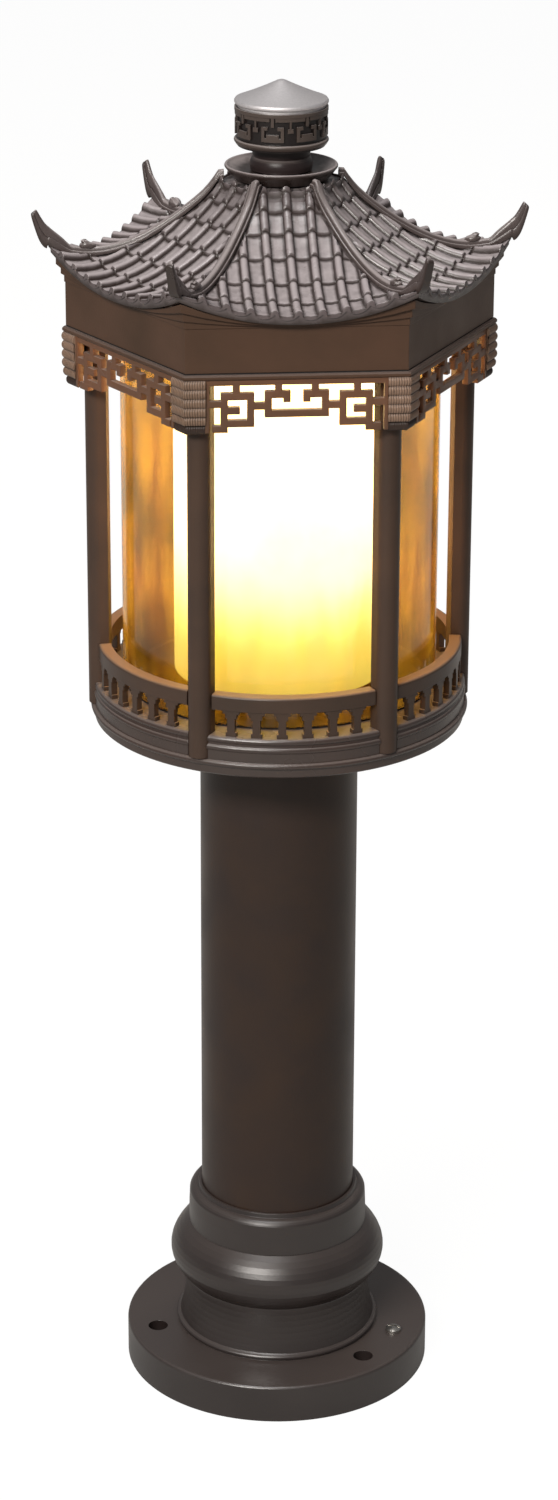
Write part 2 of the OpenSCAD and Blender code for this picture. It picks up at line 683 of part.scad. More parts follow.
// rows of the shell from the flat top down the tiles and back up inside: [a, height above the surface, relief]
shell_rows = concat(
    [[crown_a - 12, 0, 0], [crown_a, 0, 0]],
    [for (i = [0:len(courses) - 2]) each [
        [courses[i] + (i == 0 ? 3 : 0.15), 0, 1],
        [courses[i + 1], i == len(courses) - 2 ? 0 : tile_step, 1]]],
    [for (i = [len(courses) - 1:-1:0]) [courses[i] - (i == len(courses) - 1 ? 0 : 0.4), -shell_t, 0]],
    [[crown_a - 12, -shell_t, 0]]);

// point on row r and column c of side k; the columns run from one hip to just before the next
function shell_u(r, c) = let (w = shell_rows[r][0] * tan30, m = w - hip_margin)
    c == 0 ? -w : c == 1 ? -m : c == n_cols - 1 ? m : max(-m, min(m, side_cols[c - 2][0]));
function shell_pos(r, c) = let (u = shell_u(r, c), a = shell_rows[r][0],
        m = a * tan30 - hip_margin,
        inside = c > 1 && c < n_cols - 1 && abs(side_cols[c - 2][0]) < m - 0.3,
        lift = shell_rows[r][1],
        base = a < crown_a ? crown_z : roof_h(a, u))
    [a, u, base + (lift < 0 || inside ? lift : 0)
        + (inside ? side_cols[c - 2][1] * tile_h * shell_rows[r][2] : 0)];

// columns pushed past the margin share the margin's point, so no face is left without area
function shell_col(r, c) = let (m = shell_rows[r][0] * tan30 - hip_margin)
    c < 2 || c == n_cols - 1 ? c
    : side_cols[c - 2][0] <= -m + 0.3 ? 1
    : side_cols[c - 2][0] >= m - 0.3 ? n_cols - 1 : c;
function shell_index(r, c) = let (side = floor(c / n_cols) % 6, row = r % len(shell_rows))
    row * 6 * n_cols + side * n_cols + shell_col(row, c % n_cols);
function distinct(t) = t[0] != t[1] && t[1] != t[2] && t[2] != t[0];

module roof_shell() color(roof_grey) {
    points = [for (row = [0:len(shell_rows) - 1]) for (k = [0:5]) for (c = [0:n_cols - 1])
        let (p = shell_pos(row, c), t = 60 * k + 30)
        [p[0] * cos(t) - p[1] * sin(t), p[0] * sin(t) + p[1] * cos(t), p[2]]];
    faces = [for (row = [0:len(shell_rows) - 1]) for (c = [0:6 * n_cols - 1])
        let (p = shell_index(row, c), q = shell_index(row, c + 1),
            s = shell_index(row + 1, c + 1), t = shell_index(row + 1, c))
        each [for (f = [[p, q, s], [p, s, t]]) if (distinct(f)) f]];
    polyhedron(points, faces);
}

// stepped moulding between the fascia and the tiles, taller at the corners
cornice_steps = 3;
cornice_cols = 10;
cornice_flare = 4.4;
cornice_out = [for (i = [0:cornice_steps - 1])
    let (out = 0.5 + (cornice_flare - 0.5) * pow(i / (cornice_steps - 1), 1.3))
    each [[i / cornice_steps, out], [(i + 1) / cornice_steps - 0.02, out]]];

// rows of the cornice: [share of the height, distance from the axis]
cornice_rows = concat([for (p = cornice_out) [p[0], fascia_a + p[1]]],
    [[1, fascia_a - fascia_wall], [0, fascia_a - fascia_wall]]);
n_cor = 6 * cornice_cols;
function cornice_point(row, c) = let (k = floor(c / cornice_cols), f = (c % cornice_cols) / cornice_cols,
        a = row[1], u = a * tan30 * (2 * f - 1), t = 60 * k + 30,
        top = roof_h(max(a, fascia_a - 1), u) - shell_t - 0.3)
    [a * cos(t) - u * sin(t), a * sin(t) + u * cos(t), cornice_z + row[0] * (top - cornice_z)];

// a closed ring of rows, each of n points
function ring_faces(n, rows) = [for (r = [0:rows - 1]) for (c = [0:n - 1])
    let (p = r * n + c, q = r * n + (c + 1) % n,
        s = ((r + 1) % rows) * n + (c + 1) % n, t = ((r + 1) % rows) * n + c)
    each [[p, s, q], [p, t, s]]];

module eave_cornice() color(bronze) polyhedron(
    [for (row = cornice_rows) for (c = [0:n_cor - 1]) cornice_point(row, c)],
    ring_faces(n_cor, len(cornice_rows)));

// the shell's straight pieces along a hip, and along the margin beside it: [distance from the axis, height]
top_rows = [for (row = shell_rows) if (row[1] >= 0 && row[0] >= crown_a) row[0]];
on_hip = [for (a = top_rows) [a, roof_h(a, a * tan30)]];
on_margin = [for (a = top_rows) [a, roof_h(a, a * tan30 - hip_margin)]];

// stations of a hip ridge: [bottom r, bottom z, top r, top z, half width, height of its lower edges]
ridge_from = disc_d / 2 + gap;
ridge_lift = 0.25;
function hip_z(r) = lookup(r * cos(30), on_hip) + ridge_lift;
function edge_z(r, w) = lookup(min(eave_a, r * cos(30) + w / 2), on_margin) + ridge_lift;
ridge_on = [for (f = [0, 0.06, 0.13, 0.21, 0.3, 0.39, 0.48, 0.58, 0.68, 0.77, 0.85])
    let (r = ridge_from + f * (horn_r - ridge_from), w = hip_w / 2)
    [r, hip_z(r), r, hip_z(r) + hip_h, w, edge_z(r, w)]];
// the horn past the last tile: offsets from the eave's corner
horn = [for (p = [[-12, 0, -11.4, 0.4, 1], [-6, 0, -7.6, 4.4, 0.97], [0, 0, -2.4, 10.2, 0.9],
        [0.4, -4.4, -1.2, 11.4, 0.88], [3.9, 0, 1, 13.4, 0.85], [7, 4.7, 3.2, 16.4, 0.78],
        [9.5, 12.6, 5.8, 19.7, 0.65]])
    let (r = horn_r + p[0], w = p[4] * hip_w / 2, on = p[0] <= 0,
        low = on ? hip_z(r) : hip_z(horn_r) + p[1])
    [r, low, horn_r + p[2], hip_z(horn_r) + p[3], w, on ? edge_z(r, w) : low]];
stations = concat(ridge_on, horn);

// the ridge's section at a station: eight points round it
function ridge_ring(s) = let (w = s[4], up = s[3] - s[1], back = s[2] - s[0])
    [[s[0], 0, s[1]], [s[0], w, s[5]], [s[0] + 0.55 * back, w, s[1] + 0.55 * up],
     [s[0] + 0.9 * back, 0.6 * w, s[1] + 0.9 * up], [s[2], 0, s[3]],
     [s[0] + 0.9 * back, -0.6 * w, s[1] + 0.9 * up],
     [s[0] + 0.55 * back, -w, s[1] + 0.55 * up], [s[0], -w, s[5]]];

module hip_ridges() color(roof_grey) at_corners() {
    n = len(stations);
    points = [for (s = stations) each ridge_ring(s)];
    sides = [for (i = [0:n - 2]) for (j = [0:7]) let (p = 8 * i + j, q = 8 * i + (j + 1) % 8)
        each [[p, q, q + 8], [p, q + 8, p + 8]]];
    first = [for (j = [1:6]) [0, j + 1, j]];
    last = [for (j = [1:6]) [8 * (n - 1), 8 * (n - 1) + j, 8 * (n - 1) + j + 1]];
    polyhedron(points, concat(sides, first, last));
}

// ---------------------------------------------------------------- crown and finial

module crown_disc() color(roof_grey) translate([0, 0, disc_z]) rotate_extrude() {
    r = disc_d / 2;
    polygon(concat([[stud_d / 2 + gap, 0], [crown_a - 0.4, 0]],
        arc(r - 1, disc_h - 1, 1, -10, 150, 5),
        [[r - 7, disc_h - dish + 0.5], [neck_d / 2 + 2.6, disc_h - dish], [stud_d / 2 + gap, disc_h - dish]]));
    // spigot through the roof's top
    translate([stud_d / 2 + gap, -shell_t]) square([crown_a - 12 - gap - stud_d / 2 - gap, shell_t + eps]);
}

module crown_washer() color("#1c1b1a")
    tube_ring(neck_d / 2 - 2, neck_d / 2 - 2 - stud_d / 2 - gap, washer_z, washer_t);

module finial_neck() color(bronze) translate([0, 0, neck_z]) rotate_extrude() {
    r = neck_d / 2;
    difference() {
        union() {
            polygon(concat([[0, 0], [r + 0.6, 0]], bulge(r + 0.6, 0.8, r - 0.8, 0.55 * neck_h, 0.9, 8),
                [[r - 0.5, 0.62 * neck_h], [r - 0.5, neck_h], [0, neck_h]]));
            translate([0, neck_h - eps]) square([spigot_r, 4 + eps]);
        }
        translate([0, -1]) square([stud_d / 2 + thread_gap, 1 + stud_top - neck_z + 1]);
        translate([-20, -5]) square([20, 60]);
    }
}

drum_wall = 7;
low_rim = 4.7;
top_rim = 2;
spigot_r = neck_d / 2 - 5;
module finial_drum() color(bronze) translate([0, 0, drum_z]) {
    r = drum_d / 2;
    ring(r - 1.9, r - drum_wall, drum_h);
    rotate_extrude() polygon(concat([[spigot_r + fit, 0], [r - 3, 0], [r - 1, 1.1]],
        arc(r - 1.2, low_rim - 1.7, 1.2, -50, 75, 5), [[r - 2.4, low_rim], [spigot_r + fit, low_rim]]));
    translate([0, 0, drum_h - top_rim]) ring(r - 0.3, r - drum_wall, top_rim);
    // raised key pattern, eight repeats
    field = drum_h - low_rim - top_rim;
    intersection() {
        translate([0, 0, low_rim - eps]) ring(r - 0.5, r - 3, field + 2 * eps);
        for (k = [0:7]) rotate(drum_turn + 45 * k) for (b = drum_key)
            translate([0, b[0], low_rim + b[1] * field]) cube([r, b[2], b[3] * field + eps]);
    }
}
drum_turn = -15.9;
// bars of one repeat: [offset along, height share, width, height share]
drum_key = [[1.6, 0.86, 8.6, 0.14], [-10.2, 0.86, 8.6, 0.14],                     // top bars
    [-0.9, 0.66, 1.8, 0.34],                                                      // hanger in their gap
    [-6.4, 0.1, 12.8, 0.15], [-3.6, 0.24, 7.2, 0.14],                             // stepped foot
    [-6.4, 0.1, 1.8, 0.56], [4.6, 0.1, 1.8, 0.56],                                // its sides
    [-6.4, 0.54, 3.6, 0.13], [2.8, 0.54, 3.6, 0.13],                              // and inward hooks
    [8.4, 0.44, 1.8, 0.16], [-10.2, 0.44, 1.8, 0.16], [9.4, 0.5, 0.8, 0.4], [-10.2, 0.5, 0.8, 0.4]];

cap_groove = 1.7;
cap_rim = 2.4;
cap_nose = 2.6;
module finial_cap() color("#8a8084") translate([0, 0, cap_z]) rotate_extrude() {
    r = drum_d / 2 - 0.2;
    inner = drum_d / 2 - drum_wall - fit;
    foot = cap_groove + cap_rim;
    rise = cap_h - foot - 0.6;
    polygon(concat([[0, -3], [inner, -3], [inner, 0], [r - 1.8, 0], [r - 1.8, cap_groove]],
        arc(r - 0.8, cap_groove + 0.9, 0.8, -80, 0, 4), [[r, foot - 0.9]],
        [for (i = [0:8]) let (t = i / 8)
            [(r - 0.5) * (1 - t) + cap_nose * t, foot + rise * (t - 0.14 * t * (1 - t))]],
        [[cap_nose * 0.55, cap_h - 0.2], [0, cap_h]]));
}

base_casting();
earth_screw();
column_tube();
column_seals();
tie_rod();
tie_nuts();
tie_washers();
terminal_block();
terminal_screws();
lamp_lead();
tray();
balustrade(0);  // balustrade_1
balustrade(1);  // balustrade_2
balustrade(2);  // balustrade_3
balustrade(3);  // balustrade_4
balustrade(4);  // balustrade_5
balustrade(5);  // balustrade_6
post(0);  // post_1
post(1);  // post_2
post(2);  // post_3
post(3);  // post_4
post(4);  // post_5
post(5);  // post_6
post_screws();
clear_tube();
tube_seals();
glow_seat();
glow_cylinder();
holder_bridge();
bridge_screws();
lampholder();
bulb_cap();
bulb_glass();
top_ring();
frieze(0);  // frieze_1
frieze(1);  // frieze_2
frieze(2);  // frieze_3
frieze(3);  // frieze_4
frieze(4);  // frieze_5
frieze(5);  // frieze_6
bracket(0);  // bracket_1
bracket(1);  // bracket_2
bracket(2);  // bracket_3
bracket(3);  // bracket_4
bracket(4);  // bracket_5
bracket(5);  // bracket_6
crossbar();
crossbar_screws();
crown_stud();
roof_gasket();
fascia_box();
eave_cornice();
roof_shell();
hip_ridges();
crown_disc();
crown_washer();
finial_neck();
finial_drum();
finial_cap();
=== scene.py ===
# %% [markdown]
# # A pagoda lantern lamp
# The lamp is a short post light in dark bronze paint. A bolted base carries a round column, a tray
# and six posts. The posts stand round a clear amber tube with a glowing cylinder inside it, and a
# tiled roof with upturned ridges closes the top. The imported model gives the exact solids. This
# lesson dresses them. It paints what is right already, and makes finer pieces for the roof's tiles,
# ridges and disc, the brackets and the frieze, where a casting has more relief than the solids hold.

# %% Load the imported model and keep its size
import math
import bmesh
import bpy
from mathutils import Matrix, Vector


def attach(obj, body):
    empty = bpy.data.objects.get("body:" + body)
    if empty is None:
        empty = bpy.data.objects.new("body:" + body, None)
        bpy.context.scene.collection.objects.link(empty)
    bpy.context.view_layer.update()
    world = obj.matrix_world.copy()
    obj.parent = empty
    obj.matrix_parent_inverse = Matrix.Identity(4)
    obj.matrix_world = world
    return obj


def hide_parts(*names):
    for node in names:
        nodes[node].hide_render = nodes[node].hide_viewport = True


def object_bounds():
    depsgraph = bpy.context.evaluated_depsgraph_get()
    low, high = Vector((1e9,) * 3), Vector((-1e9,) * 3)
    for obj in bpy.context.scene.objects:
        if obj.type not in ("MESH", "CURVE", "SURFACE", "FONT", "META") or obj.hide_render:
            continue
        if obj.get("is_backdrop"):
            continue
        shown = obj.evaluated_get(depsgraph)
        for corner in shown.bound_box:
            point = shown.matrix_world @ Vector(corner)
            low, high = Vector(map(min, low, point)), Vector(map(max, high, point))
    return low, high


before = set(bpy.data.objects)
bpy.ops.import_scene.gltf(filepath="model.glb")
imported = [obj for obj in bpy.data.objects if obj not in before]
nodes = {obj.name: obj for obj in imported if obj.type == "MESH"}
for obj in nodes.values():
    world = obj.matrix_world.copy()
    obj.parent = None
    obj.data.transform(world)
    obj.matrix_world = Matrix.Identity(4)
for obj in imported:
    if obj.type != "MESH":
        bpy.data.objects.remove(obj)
cad_box = [list(corner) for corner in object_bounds()]
mm = 0.001
print("nodes:", len(nodes), "height in mm:", round((cad_box[1][2] - cad_box[0][2]) / mm, 1))

# %% [markdown]
# ## Colour and nodes
# Paint charts and photographs give colours as sRGB hex values, and Blender's shaders want linear
# light. One function turns one into the other, so every colour below can be read off a chart.
# A second one adds a node, sets it and links it, which keeps each finish to a few readable lines.
# A third one starts a material with an empty node tree.

# %% Three small helpers
def linear(hex_colour):
    """An sRGB hex colour as linear RGBA."""
    parts = [int(hex_colour[i:i + 2], 16) / 255 for i in (1, 3, 5)]
    return [c / 12.92 if c <= 0.04045 else ((c + 0.055) / 1.055) ** 2.4 for c in parts] + [1.0]


def add(tree, kind, settings=None, **inputs):
    """Adds a node. Settings are its properties, and inputs are its sockets.

    A socket is named with _ for each space, or numbered as i0, i1 and so on. It gets a value, or
    another node's output to link.
    """
    node = tree.nodes.new(kind)
    for name, value in (settings or {}).items():
        setattr(node, name, value)
    for name, value in inputs.items():
        key = int(name[1:]) if name[0] == "i" and name[1:].isdigit() else name.replace("_", " ")
        socket = node.inputs[key]
        if isinstance(value, bpy.types.NodeSocket):
            tree.links.new(value, socket)
        else:
            socket.default_value = value
    return node


def blank_finish(name):
    """A new material, and its node tree emptied."""
    finish = bpy.data.materials.new(name)
    finish.use_nodes = True
    finish.node_tree.nodes.clear()
    return finish, finish.node_tree


print("white is", linear("#ffffff"))

# %% [markdown]
# ## The camera
# The photograph was taken from a little above the roof, slightly left of the front, with a long
# lens. Its place was solved from the rings of the base and tray, the posts and the roof's corners:
# 21.5 degrees down, 4.9 degrees to the left, about 2.15 m off. A camera could be aimed by a
# constraint, but this one also leans a little, so its matrix is built from the three directions
# that the lens sees as right, up and back.

# %% Place the camera
azimuth, pitch, roll = math.radians(-4.935), math.radians(21.545), math.radians(0.219)
stand_off, eye_height = 2.14777, 1.2489
focal_pixels, picture_pixels, sensor_mm = 3909.58, 1500, 36
ahead = Vector((-math.sin(azimuth) * math.cos(pitch),
                math.cos(azimuth) * math.cos(pitch),
                -math.sin(pitch)))
level = Vector((math.cos(azimuth), math.sin(azimuth), 0))
above = level.cross(ahead)
right = level * math.cos(roll) + above * math.sin(roll)
up = above * math.cos(roll) - level * math.sin(roll)
eye = Vector((math.sin(azimuth) * stand_off, -math.cos(azimuth) * stand_off, eye_height))
lens = bpy.data.cameras.new("camera")
lens.sensor_width = sensor_mm
lens.lens = focal_pixels * sensor_mm / picture_pixels
camera = bpy.data.objects.new("camera", lens)
camera.matrix_world = Matrix((
    (right.x, up.x, -ahead.x, eye.x),
    (right.y, up.y, -ahead.y, eye.y),
    (right.z, up.z, -ahead.z, eye.z),
    (0, 0, 0, 1)))
bpy.context.scene.collection.objects.link(camera)
bpy.context.scene.camera = camera
print("lens in mm:", round(lens.lens, 2), "eye:", [round(v, 3) for v in eye])

# %% [markdown]
# ## Floor and light
# The photograph stands the lamp on plain white. A wide floor does the same, and it keeps the soft
# shadow that shows where the base stands. To the camera and through glass the floor is mostly its
# own white, and gloss sees a little of that too, so nothing has to be lit harder to bleach it.

# %% Lay the floor
white_in_gloss = 0.12
floor_half, floor_white, floor_glow = 14, 0.86, 1.12


def white_surround(tree, share):
    """How much of plain white a ray sees here: all of the share by eye or through glass."""
    path = add(tree, "ShaderNodeLightPath")
    gloss = add(tree, "ShaderNodeMath", {"operation": "MULTIPLY"},
                i0=path.outputs["Is Glossy Ray"], i1=white_in_gloss)
    straight = add(tree, "ShaderNodeMath", {"operation": "MAXIMUM"},
                   i0=path.outputs["Is Camera Ray"], i1=path.outputs["Is Transmission Ray"])
    seen = add(tree, "ShaderNodeMath", {"operation": "MAXIMUM"},
               i0=straight.outputs[0], i1=gloss.outputs[0])
    return add(tree, "ShaderNodeMath", {"operation": "MULTIPLY"},
               i0=seen.outputs[0], i1=share).outputs[0]


corners = [(x * floor_half, y * floor_half, 0) for x, y in ((-1, -1), (1, -1), (1, 1), (-1, 1))]
floor_mesh = bpy.data.meshes.new("studio_floor")
floor_mesh.from_pydata(corners, [], [(0, 1, 2, 3)])
floor = bpy.data.objects.new("studio_floor", floor_mesh)
bpy.context.scene.collection.objects.link(floor)
floor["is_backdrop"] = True
paper, tree = blank_finish("matt white paper")
matt = add(tree, "ShaderNodeBsdfDiffuse", Color=linear("#bab8b4"))
glow = add(tree, "ShaderNodeEmission", Color=linear("#ffffff"), Strength=floor_glow)
both = add(tree, "ShaderNodeMixShader", i0=white_surround(tree, floor_white),
           i1=matt.outputs[0], i2=glow.outputs[0])
add(tree, "ShaderNodeOutputMaterial", Surface=both.outputs[0])
floor_mesh.materials.append(paper)
print("floor, metres across:", 2 * floor_half)

# %% [markdown]
# The light is a plain studio's. The world is white to the eye and a dim cool grey to the lamp, so
# that no shadow goes black. A soft box hangs overhead, and a wide low one at the front left draws
# the bright lines down the column and posts.

# %% Light the studio
world = bpy.data.worlds.new("studio")
world.use_nodes = True
bpy.context.scene.world = world
tree = world.node_tree
tree.nodes.clear()
dim = add(tree, "ShaderNodeBackground", Color=linear("#e9ecf2"), Strength=0.1)
bright = add(tree, "ShaderNodeBackground", Color=linear("#ffffff"), Strength=1.0)
both = add(tree, "ShaderNodeMixShader", i0=white_surround(tree, 1.0),
           i1=dim.outputs[0], i2=bright.outputs[0])
add(tree, "ShaderNodeOutputWorld", Surface=both.outputs[0])


def softbox(name, place, aim, width, height, watts, colour):
    """A rectangular lamp at a place in metres, turned to a point."""
    data = bpy.data.lights.new(name, "AREA")
    data.shape, data.size, data.size_y = "RECTANGLE", width, height
    data.energy, data.color = watts, linear(colour)[:3]
    lamp = bpy.data.objects.new(name, data)
    lamp.location = place
    lamp.rotation_euler = (Vector(aim) - Vector(place)).to_track_quat("-Z", "Y").to_euler()
    bpy.context.scene.collection.objects.link(lamp)
    return lamp


softbox("overhead", (-0.5, -0.7, 4.3), (0, 0, 0.45), 1.4, 1.4, 52, "#ffffff")
softbox("key", (-1.3, -2.45, 2.3), (0, 0, 0.5), 1.6, 0.5, 92, "#fffaf4")
fill = softbox("fill", (1.7, 2.3, 1.9), (0, 0, 0.5), 1.6, 1.6, 34, "#fff3e6")
# The fill keeps the far side readable. Its own image would burn out the cap, so gloss misses it.
fill.visible_glossy = False
bpy.context.scene.view_settings.view_transform = "Standard"

# %% [markdown]
# ## The bronze paint
# The castings are aluminium, sprayed with polyester powder and baked. Such a coat is dark and
# satin: its IOR is near 1.5, a matting agent halves its specular level, and up close it has a fine
# orange peel with bumps about 1.5 mm across. It varies a little in tone where the coat is
# thicker, over some 40 mm. A noise scale of 1000 / size in mm gives one bump that wide.
#
# What weather does to the coat, and light painted into it, are laid over it in layers, each a
# function that takes a colour and gives it back changed. On what faces up lies a light grey that
# follows the slope
# of the surface: partly a thin dust, partly painted top light. Painted shade fills what lies deep,
# which a mark on the points of a mesh says. The recesses of a turned piece get painted shade, and
# they are known by their radius.

# %% Dust and painted top light, painted shade in deep places and recesses
def dusted_and_top_lit(tree, colour, dust_and_top_light, share):
    """The colour with up to a share of dust and painted top light where the surface faces up."""
    normal = add(tree, "ShaderNodeNewGeometry").outputs["Normal"]
    upward = add(tree, "ShaderNodeSeparateXYZ", Vector=normal).outputs["Z"]
    lying = add(tree, "ShaderNodeMapRange", {"interpolation_type": "SMOOTHSTEP"}, Value=upward,
                From_Min=0.35, From_Max=0.98, To_Max=share)
    return add(tree, "ShaderNodeMix", {"data_type": "RGBA"}, Factor=lying.outputs[0],
               i6=colour, i7=linear(dust_and_top_light)).outputs["Result"]


def add_painted_shade(tree, colour, place, speckle_mm=5):
    """The colour with painted shade where the mark called deep is high, ragged by a fine speckle."""
    mark = add(tree, "ShaderNodeAttribute", {"attribute_name": "deep"})
    speckle = add(tree, "ShaderNodeTexNoise", Vector=place, Scale=1000 / speckle_mm, Detail=4.0)
    ragged = add(tree, "ShaderNodeMath", {"operation": "MULTIPLY_ADD"},
                 i0=speckle.outputs["Fac"], i1=0.5, i2=mark.outputs["Fac"])
    shade_share = add(tree, "ShaderNodeMapRange", Value=ragged.outputs[0],
                From_Min=0.55, From_Max=1.15, To_Max=0.94)
    # The dark brown is the painted shade.
    return add(tree, "ShaderNodeMix", {"data_type": "RGBA"}, Factor=shade_share.outputs[0],
               i6=colour, i7=linear("#2f2420")).outputs["Result"]


def shaded_recesses(tree, colour, place, bottom, face):
    """The colour of a turned piece's bars, with painted shade at its recesses' bottom: both radii in
    mm.
    """
    flat = add(tree, "ShaderNodeVectorMath", {"operation": "MULTIPLY"}, i0=place, i1=(1, 1, 0))
    radius = add(tree, "ShaderNodeVectorMath", {"operation": "LENGTH"}, i0=flat.outputs[0])
    raised = add(tree, "ShaderNodeMapRange", Value=radius.outputs["Value"],
                 From_Min=bottom * mm, From_Max=face * mm)
    # The near black is the painted shade.
    return add(tree, "ShaderNodeMix", {"data_type": "RGBA"}, Factor=raised.outputs[0],
               i6=linear("#1b1413"), i7=colour).outputs["Result"]


print("layers:", [layer.__name__ for layer in (dusted_and_top_lit, add_painted_shade, shaded_recesses)])

# %% [markdown]
# The coat itself mixes two close tones in slow clouds, and its gloss follows the same clouds.
# Powder flows round an edge as it bakes. Modelling that round on every edge would cost many faces,
# so a bevel node rounds them all for the light alone, by about half a millimetre.

# %% Powder coat
peel_mm, edge_mm = 1.5, 0.45


def powder_coat(name, thin, thick, roughness=0.42, cloud=40.0, dust_and_top_light="#857a76", dust_and_light_share=0.55,
                shine=0.28, shade_mark=False, recess=None):
    """Satin polyester powder, baked, in two tones: where the coat is thin and where it is thick.

    Cloud is the size of its changes in mm, and recess is the two radii of the recesses that get
    painted shade. A mesh's marks can add painted shade too.
    """
    coat, tree = blank_finish(name)
    place = add(tree, "ShaderNodeTexCoord").outputs["Object"]
    clouds = add(tree, "ShaderNodeTexNoise", Vector=place, Scale=1000 / cloud, Detail=3.0)
    tone = add(tree, "ShaderNodeMapRange", Value=clouds.outputs["Fac"], From_Min=0.35, From_Max=0.7)
    colour = add(tree, "ShaderNodeMix", {"data_type": "RGBA"}, Factor=tone.outputs[0],
                 i6=linear(thin), i7=linear(thick)).outputs["Result"]
    # Dust and painted top light on what faces up.
    colour = dusted_and_top_lit(tree, colour, dust_and_top_light, dust_and_light_share)
    # Painted shade where a mesh marks deep places, and in the recesses of a turned piece.
    if shade_mark:
        colour = add_painted_shade(tree, colour, place)
    if recess:
        colour = shaded_recesses(tree, colour, place, *recess)
    bumps = add(tree, "ShaderNodeTexNoise", Vector=place, Scale=1000 / peel_mm, Detail=2.0)
    edge = add(tree, "ShaderNodeBevel", {"samples": 4}, Radius=edge_mm * mm)
    skin = add(tree, "ShaderNodeBump", Height=bumps.outputs["Fac"], Strength=0.12, Distance=0.4 * mm,
               Normal=edge.outputs[0])
    gloss = add(tree, "ShaderNodeMapRange", Value=clouds.outputs["Fac"], From_Min=0.3, From_Max=0.7,
                To_Min=roughness - 0.05, To_Max=roughness + 0.06)
    paint = add(tree, "ShaderNodeBsdfPrincipled", Base_Color=colour, Roughness=gloss.outputs[0],
                Normal=skin.outputs[0], IOR=1.5, Specular_IOR_Level=shine)
    add(tree, "ShaderNodeOutputMaterial", Surface=paint.outputs[0])
    return coat


print("orange peel in mm:", peel_mm, "edges rounded by mm:", edge_mm)

# %% [markdown]
# One paint was sprayed on every piece, yet each piece gets its own copy of it here, toned to paint in
# light and shade. The base is painted darkest, as painted shade. The fretwork and brackets are
# painted browner, as painted light from the lamp. The tiles and ridges are painted lighter grey, as
# painted top light, with painted shade in their relief.

# %% Coats of the stem
column_coat = powder_coat("powder-coated aluminium tube", "#3b2d25", "#332926", roughness=0.34)
base_coat = powder_coat("powder-coated base casting", "#2a2220", "#302826", roughness=0.34,
                        dust_and_top_light="#5a514d", shine=0.8)
cage_coat = powder_coat("powder-coated lantern casting", "#553e30", "#493629")
tray_coat = powder_coat("powder-coated tray casting", "#3f302a", "#382c27", roughness=0.26,
                        dust_and_top_light="#8b7f79", shine=0.8)
# The rail's light colour on what faces up is warm: painted lamp light on its top, and dust.
rail_coat = powder_coat("powder-coated rail casting", "#49372c", "#3f3128", roughness=0.32,
                        dust_and_top_light="#a2856c", shine=0.4)
post_coat = powder_coat("powder-coated extruded post", "#4e3c31", "#44362e", roughness=0.38)
fret_coat = powder_coat("powder-coated fretwork", "#73503c", "#614838", roughness=0.36,
                        dust_and_top_light="#a0938b")
bracket_coat = powder_coat("powder-coated bracket casting", "#957a68", "#826a58", roughness=0.34,
                           dust_and_top_light="#a0938b", shade_mark=True)
print("coats so far:", len([m for m in bpy.data.materials if m.name.startswith("powder")]))

# %% Coats of the roof and finial
drum_recess, drum_face = 25.0, 26.0
tile_coat = powder_coat("powder-coated tile casting", "#655b5b", "#595050", roughness=0.3,
                        cloud=18.0, dust_and_top_light="#bdb3b4", dust_and_light_share=0.85, shine=0.7, shade_mark=True)
ridge_coat = powder_coat("powder-coated ridge casting", "#564c4a", "#4a403e", roughness=0.3,
                         cloud=14.0, dust_and_top_light="#aea4a3", dust_and_light_share=0.8, shine=0.6, shade_mark=True)
finial_coat = powder_coat("powder-coated finial casting", "#2c2322", "#352c2c", roughness=0.34,
                          dust_and_top_light="#a79d99", dust_and_light_share=0.8)
drum_coat = powder_coat("powder-coated drum casting", "#50453f", "#453b37", roughness=0.32,
                        dust_and_top_light="#a79d99", dust_and_light_share=0.8, shine=0.5, recess=(drum_recess, drum_face))
print("powder coats:", len([m for m in bpy.data.materials if m.name.startswith("powder")]))

# %% [markdown]
# The cone on top is the one bright piece. It was sprayed with an enamel that holds aluminium flake.
# The flake lies almost flat, so the eye gets a dull metal that takes the studio's white, with a
# faint sparkle. Real flakes are far finer than a picture can show, so they are drawn 1.2 mm wide.
# A plain grey paint would stay flat where this one shades.

# %% Satin aluminium cap
flake_mm = 1.2
cap_coat, tree = blank_finish("satin aluminium-flake enamel")
place = add(tree, "ShaderNodeTexCoord").outputs["Object"]
flake = add(tree, "ShaderNodeTexNoise", Vector=place, Scale=1000 / flake_mm, Detail=2.0)
shade = add(tree, "ShaderNodeMix", {"data_type": "RGBA"}, Factor=flake.outputs["Fac"],
            i6=linear("#d2cecf"), i7=linear("#e6e2e3"))
metal = add(tree, "ShaderNodeBsdfPrincipled", Base_Color=shade.outputs["Result"],
            Metallic=0.7, Roughness=0.5)
add(tree, "ShaderNodeOutputMaterial", Surface=metal.outputs[0])
print("flake in mm:", flake_mm)

# %% [markdown]
# ## The two cylinders
# The outer tube is cast acrylic with an amber tint. The eye looks through four faces of it, so the
# tint of one face is the fourth root of the colour seen through the whole tube. The tint is painted
# darker towards the foot, as painted shade from the shaded tray that shows through it. Years of sun
# and rain have left a thin film on it in upright streaks, and a translucent shader gives that film
# its glow.

# %% Tint and film of the amber tube
# Heights in metres over which the painted shade at the foot fades out.
shade_full_at, shade_ends_at = 0.47, 0.66
haze_mm, streak_wide, streak_tall = 45, 14, 90
amber, tree = blank_finish("amber cast acrylic")
place = add(tree, "ShaderNodeTexCoord").outputs["Object"]
height = add(tree, "ShaderNodeSeparateXYZ", Vector=place).outputs["Z"]
rise = add(tree, "ShaderNodeMapRange", Value=height, From_Min=shade_full_at, From_Max=shade_ends_at)
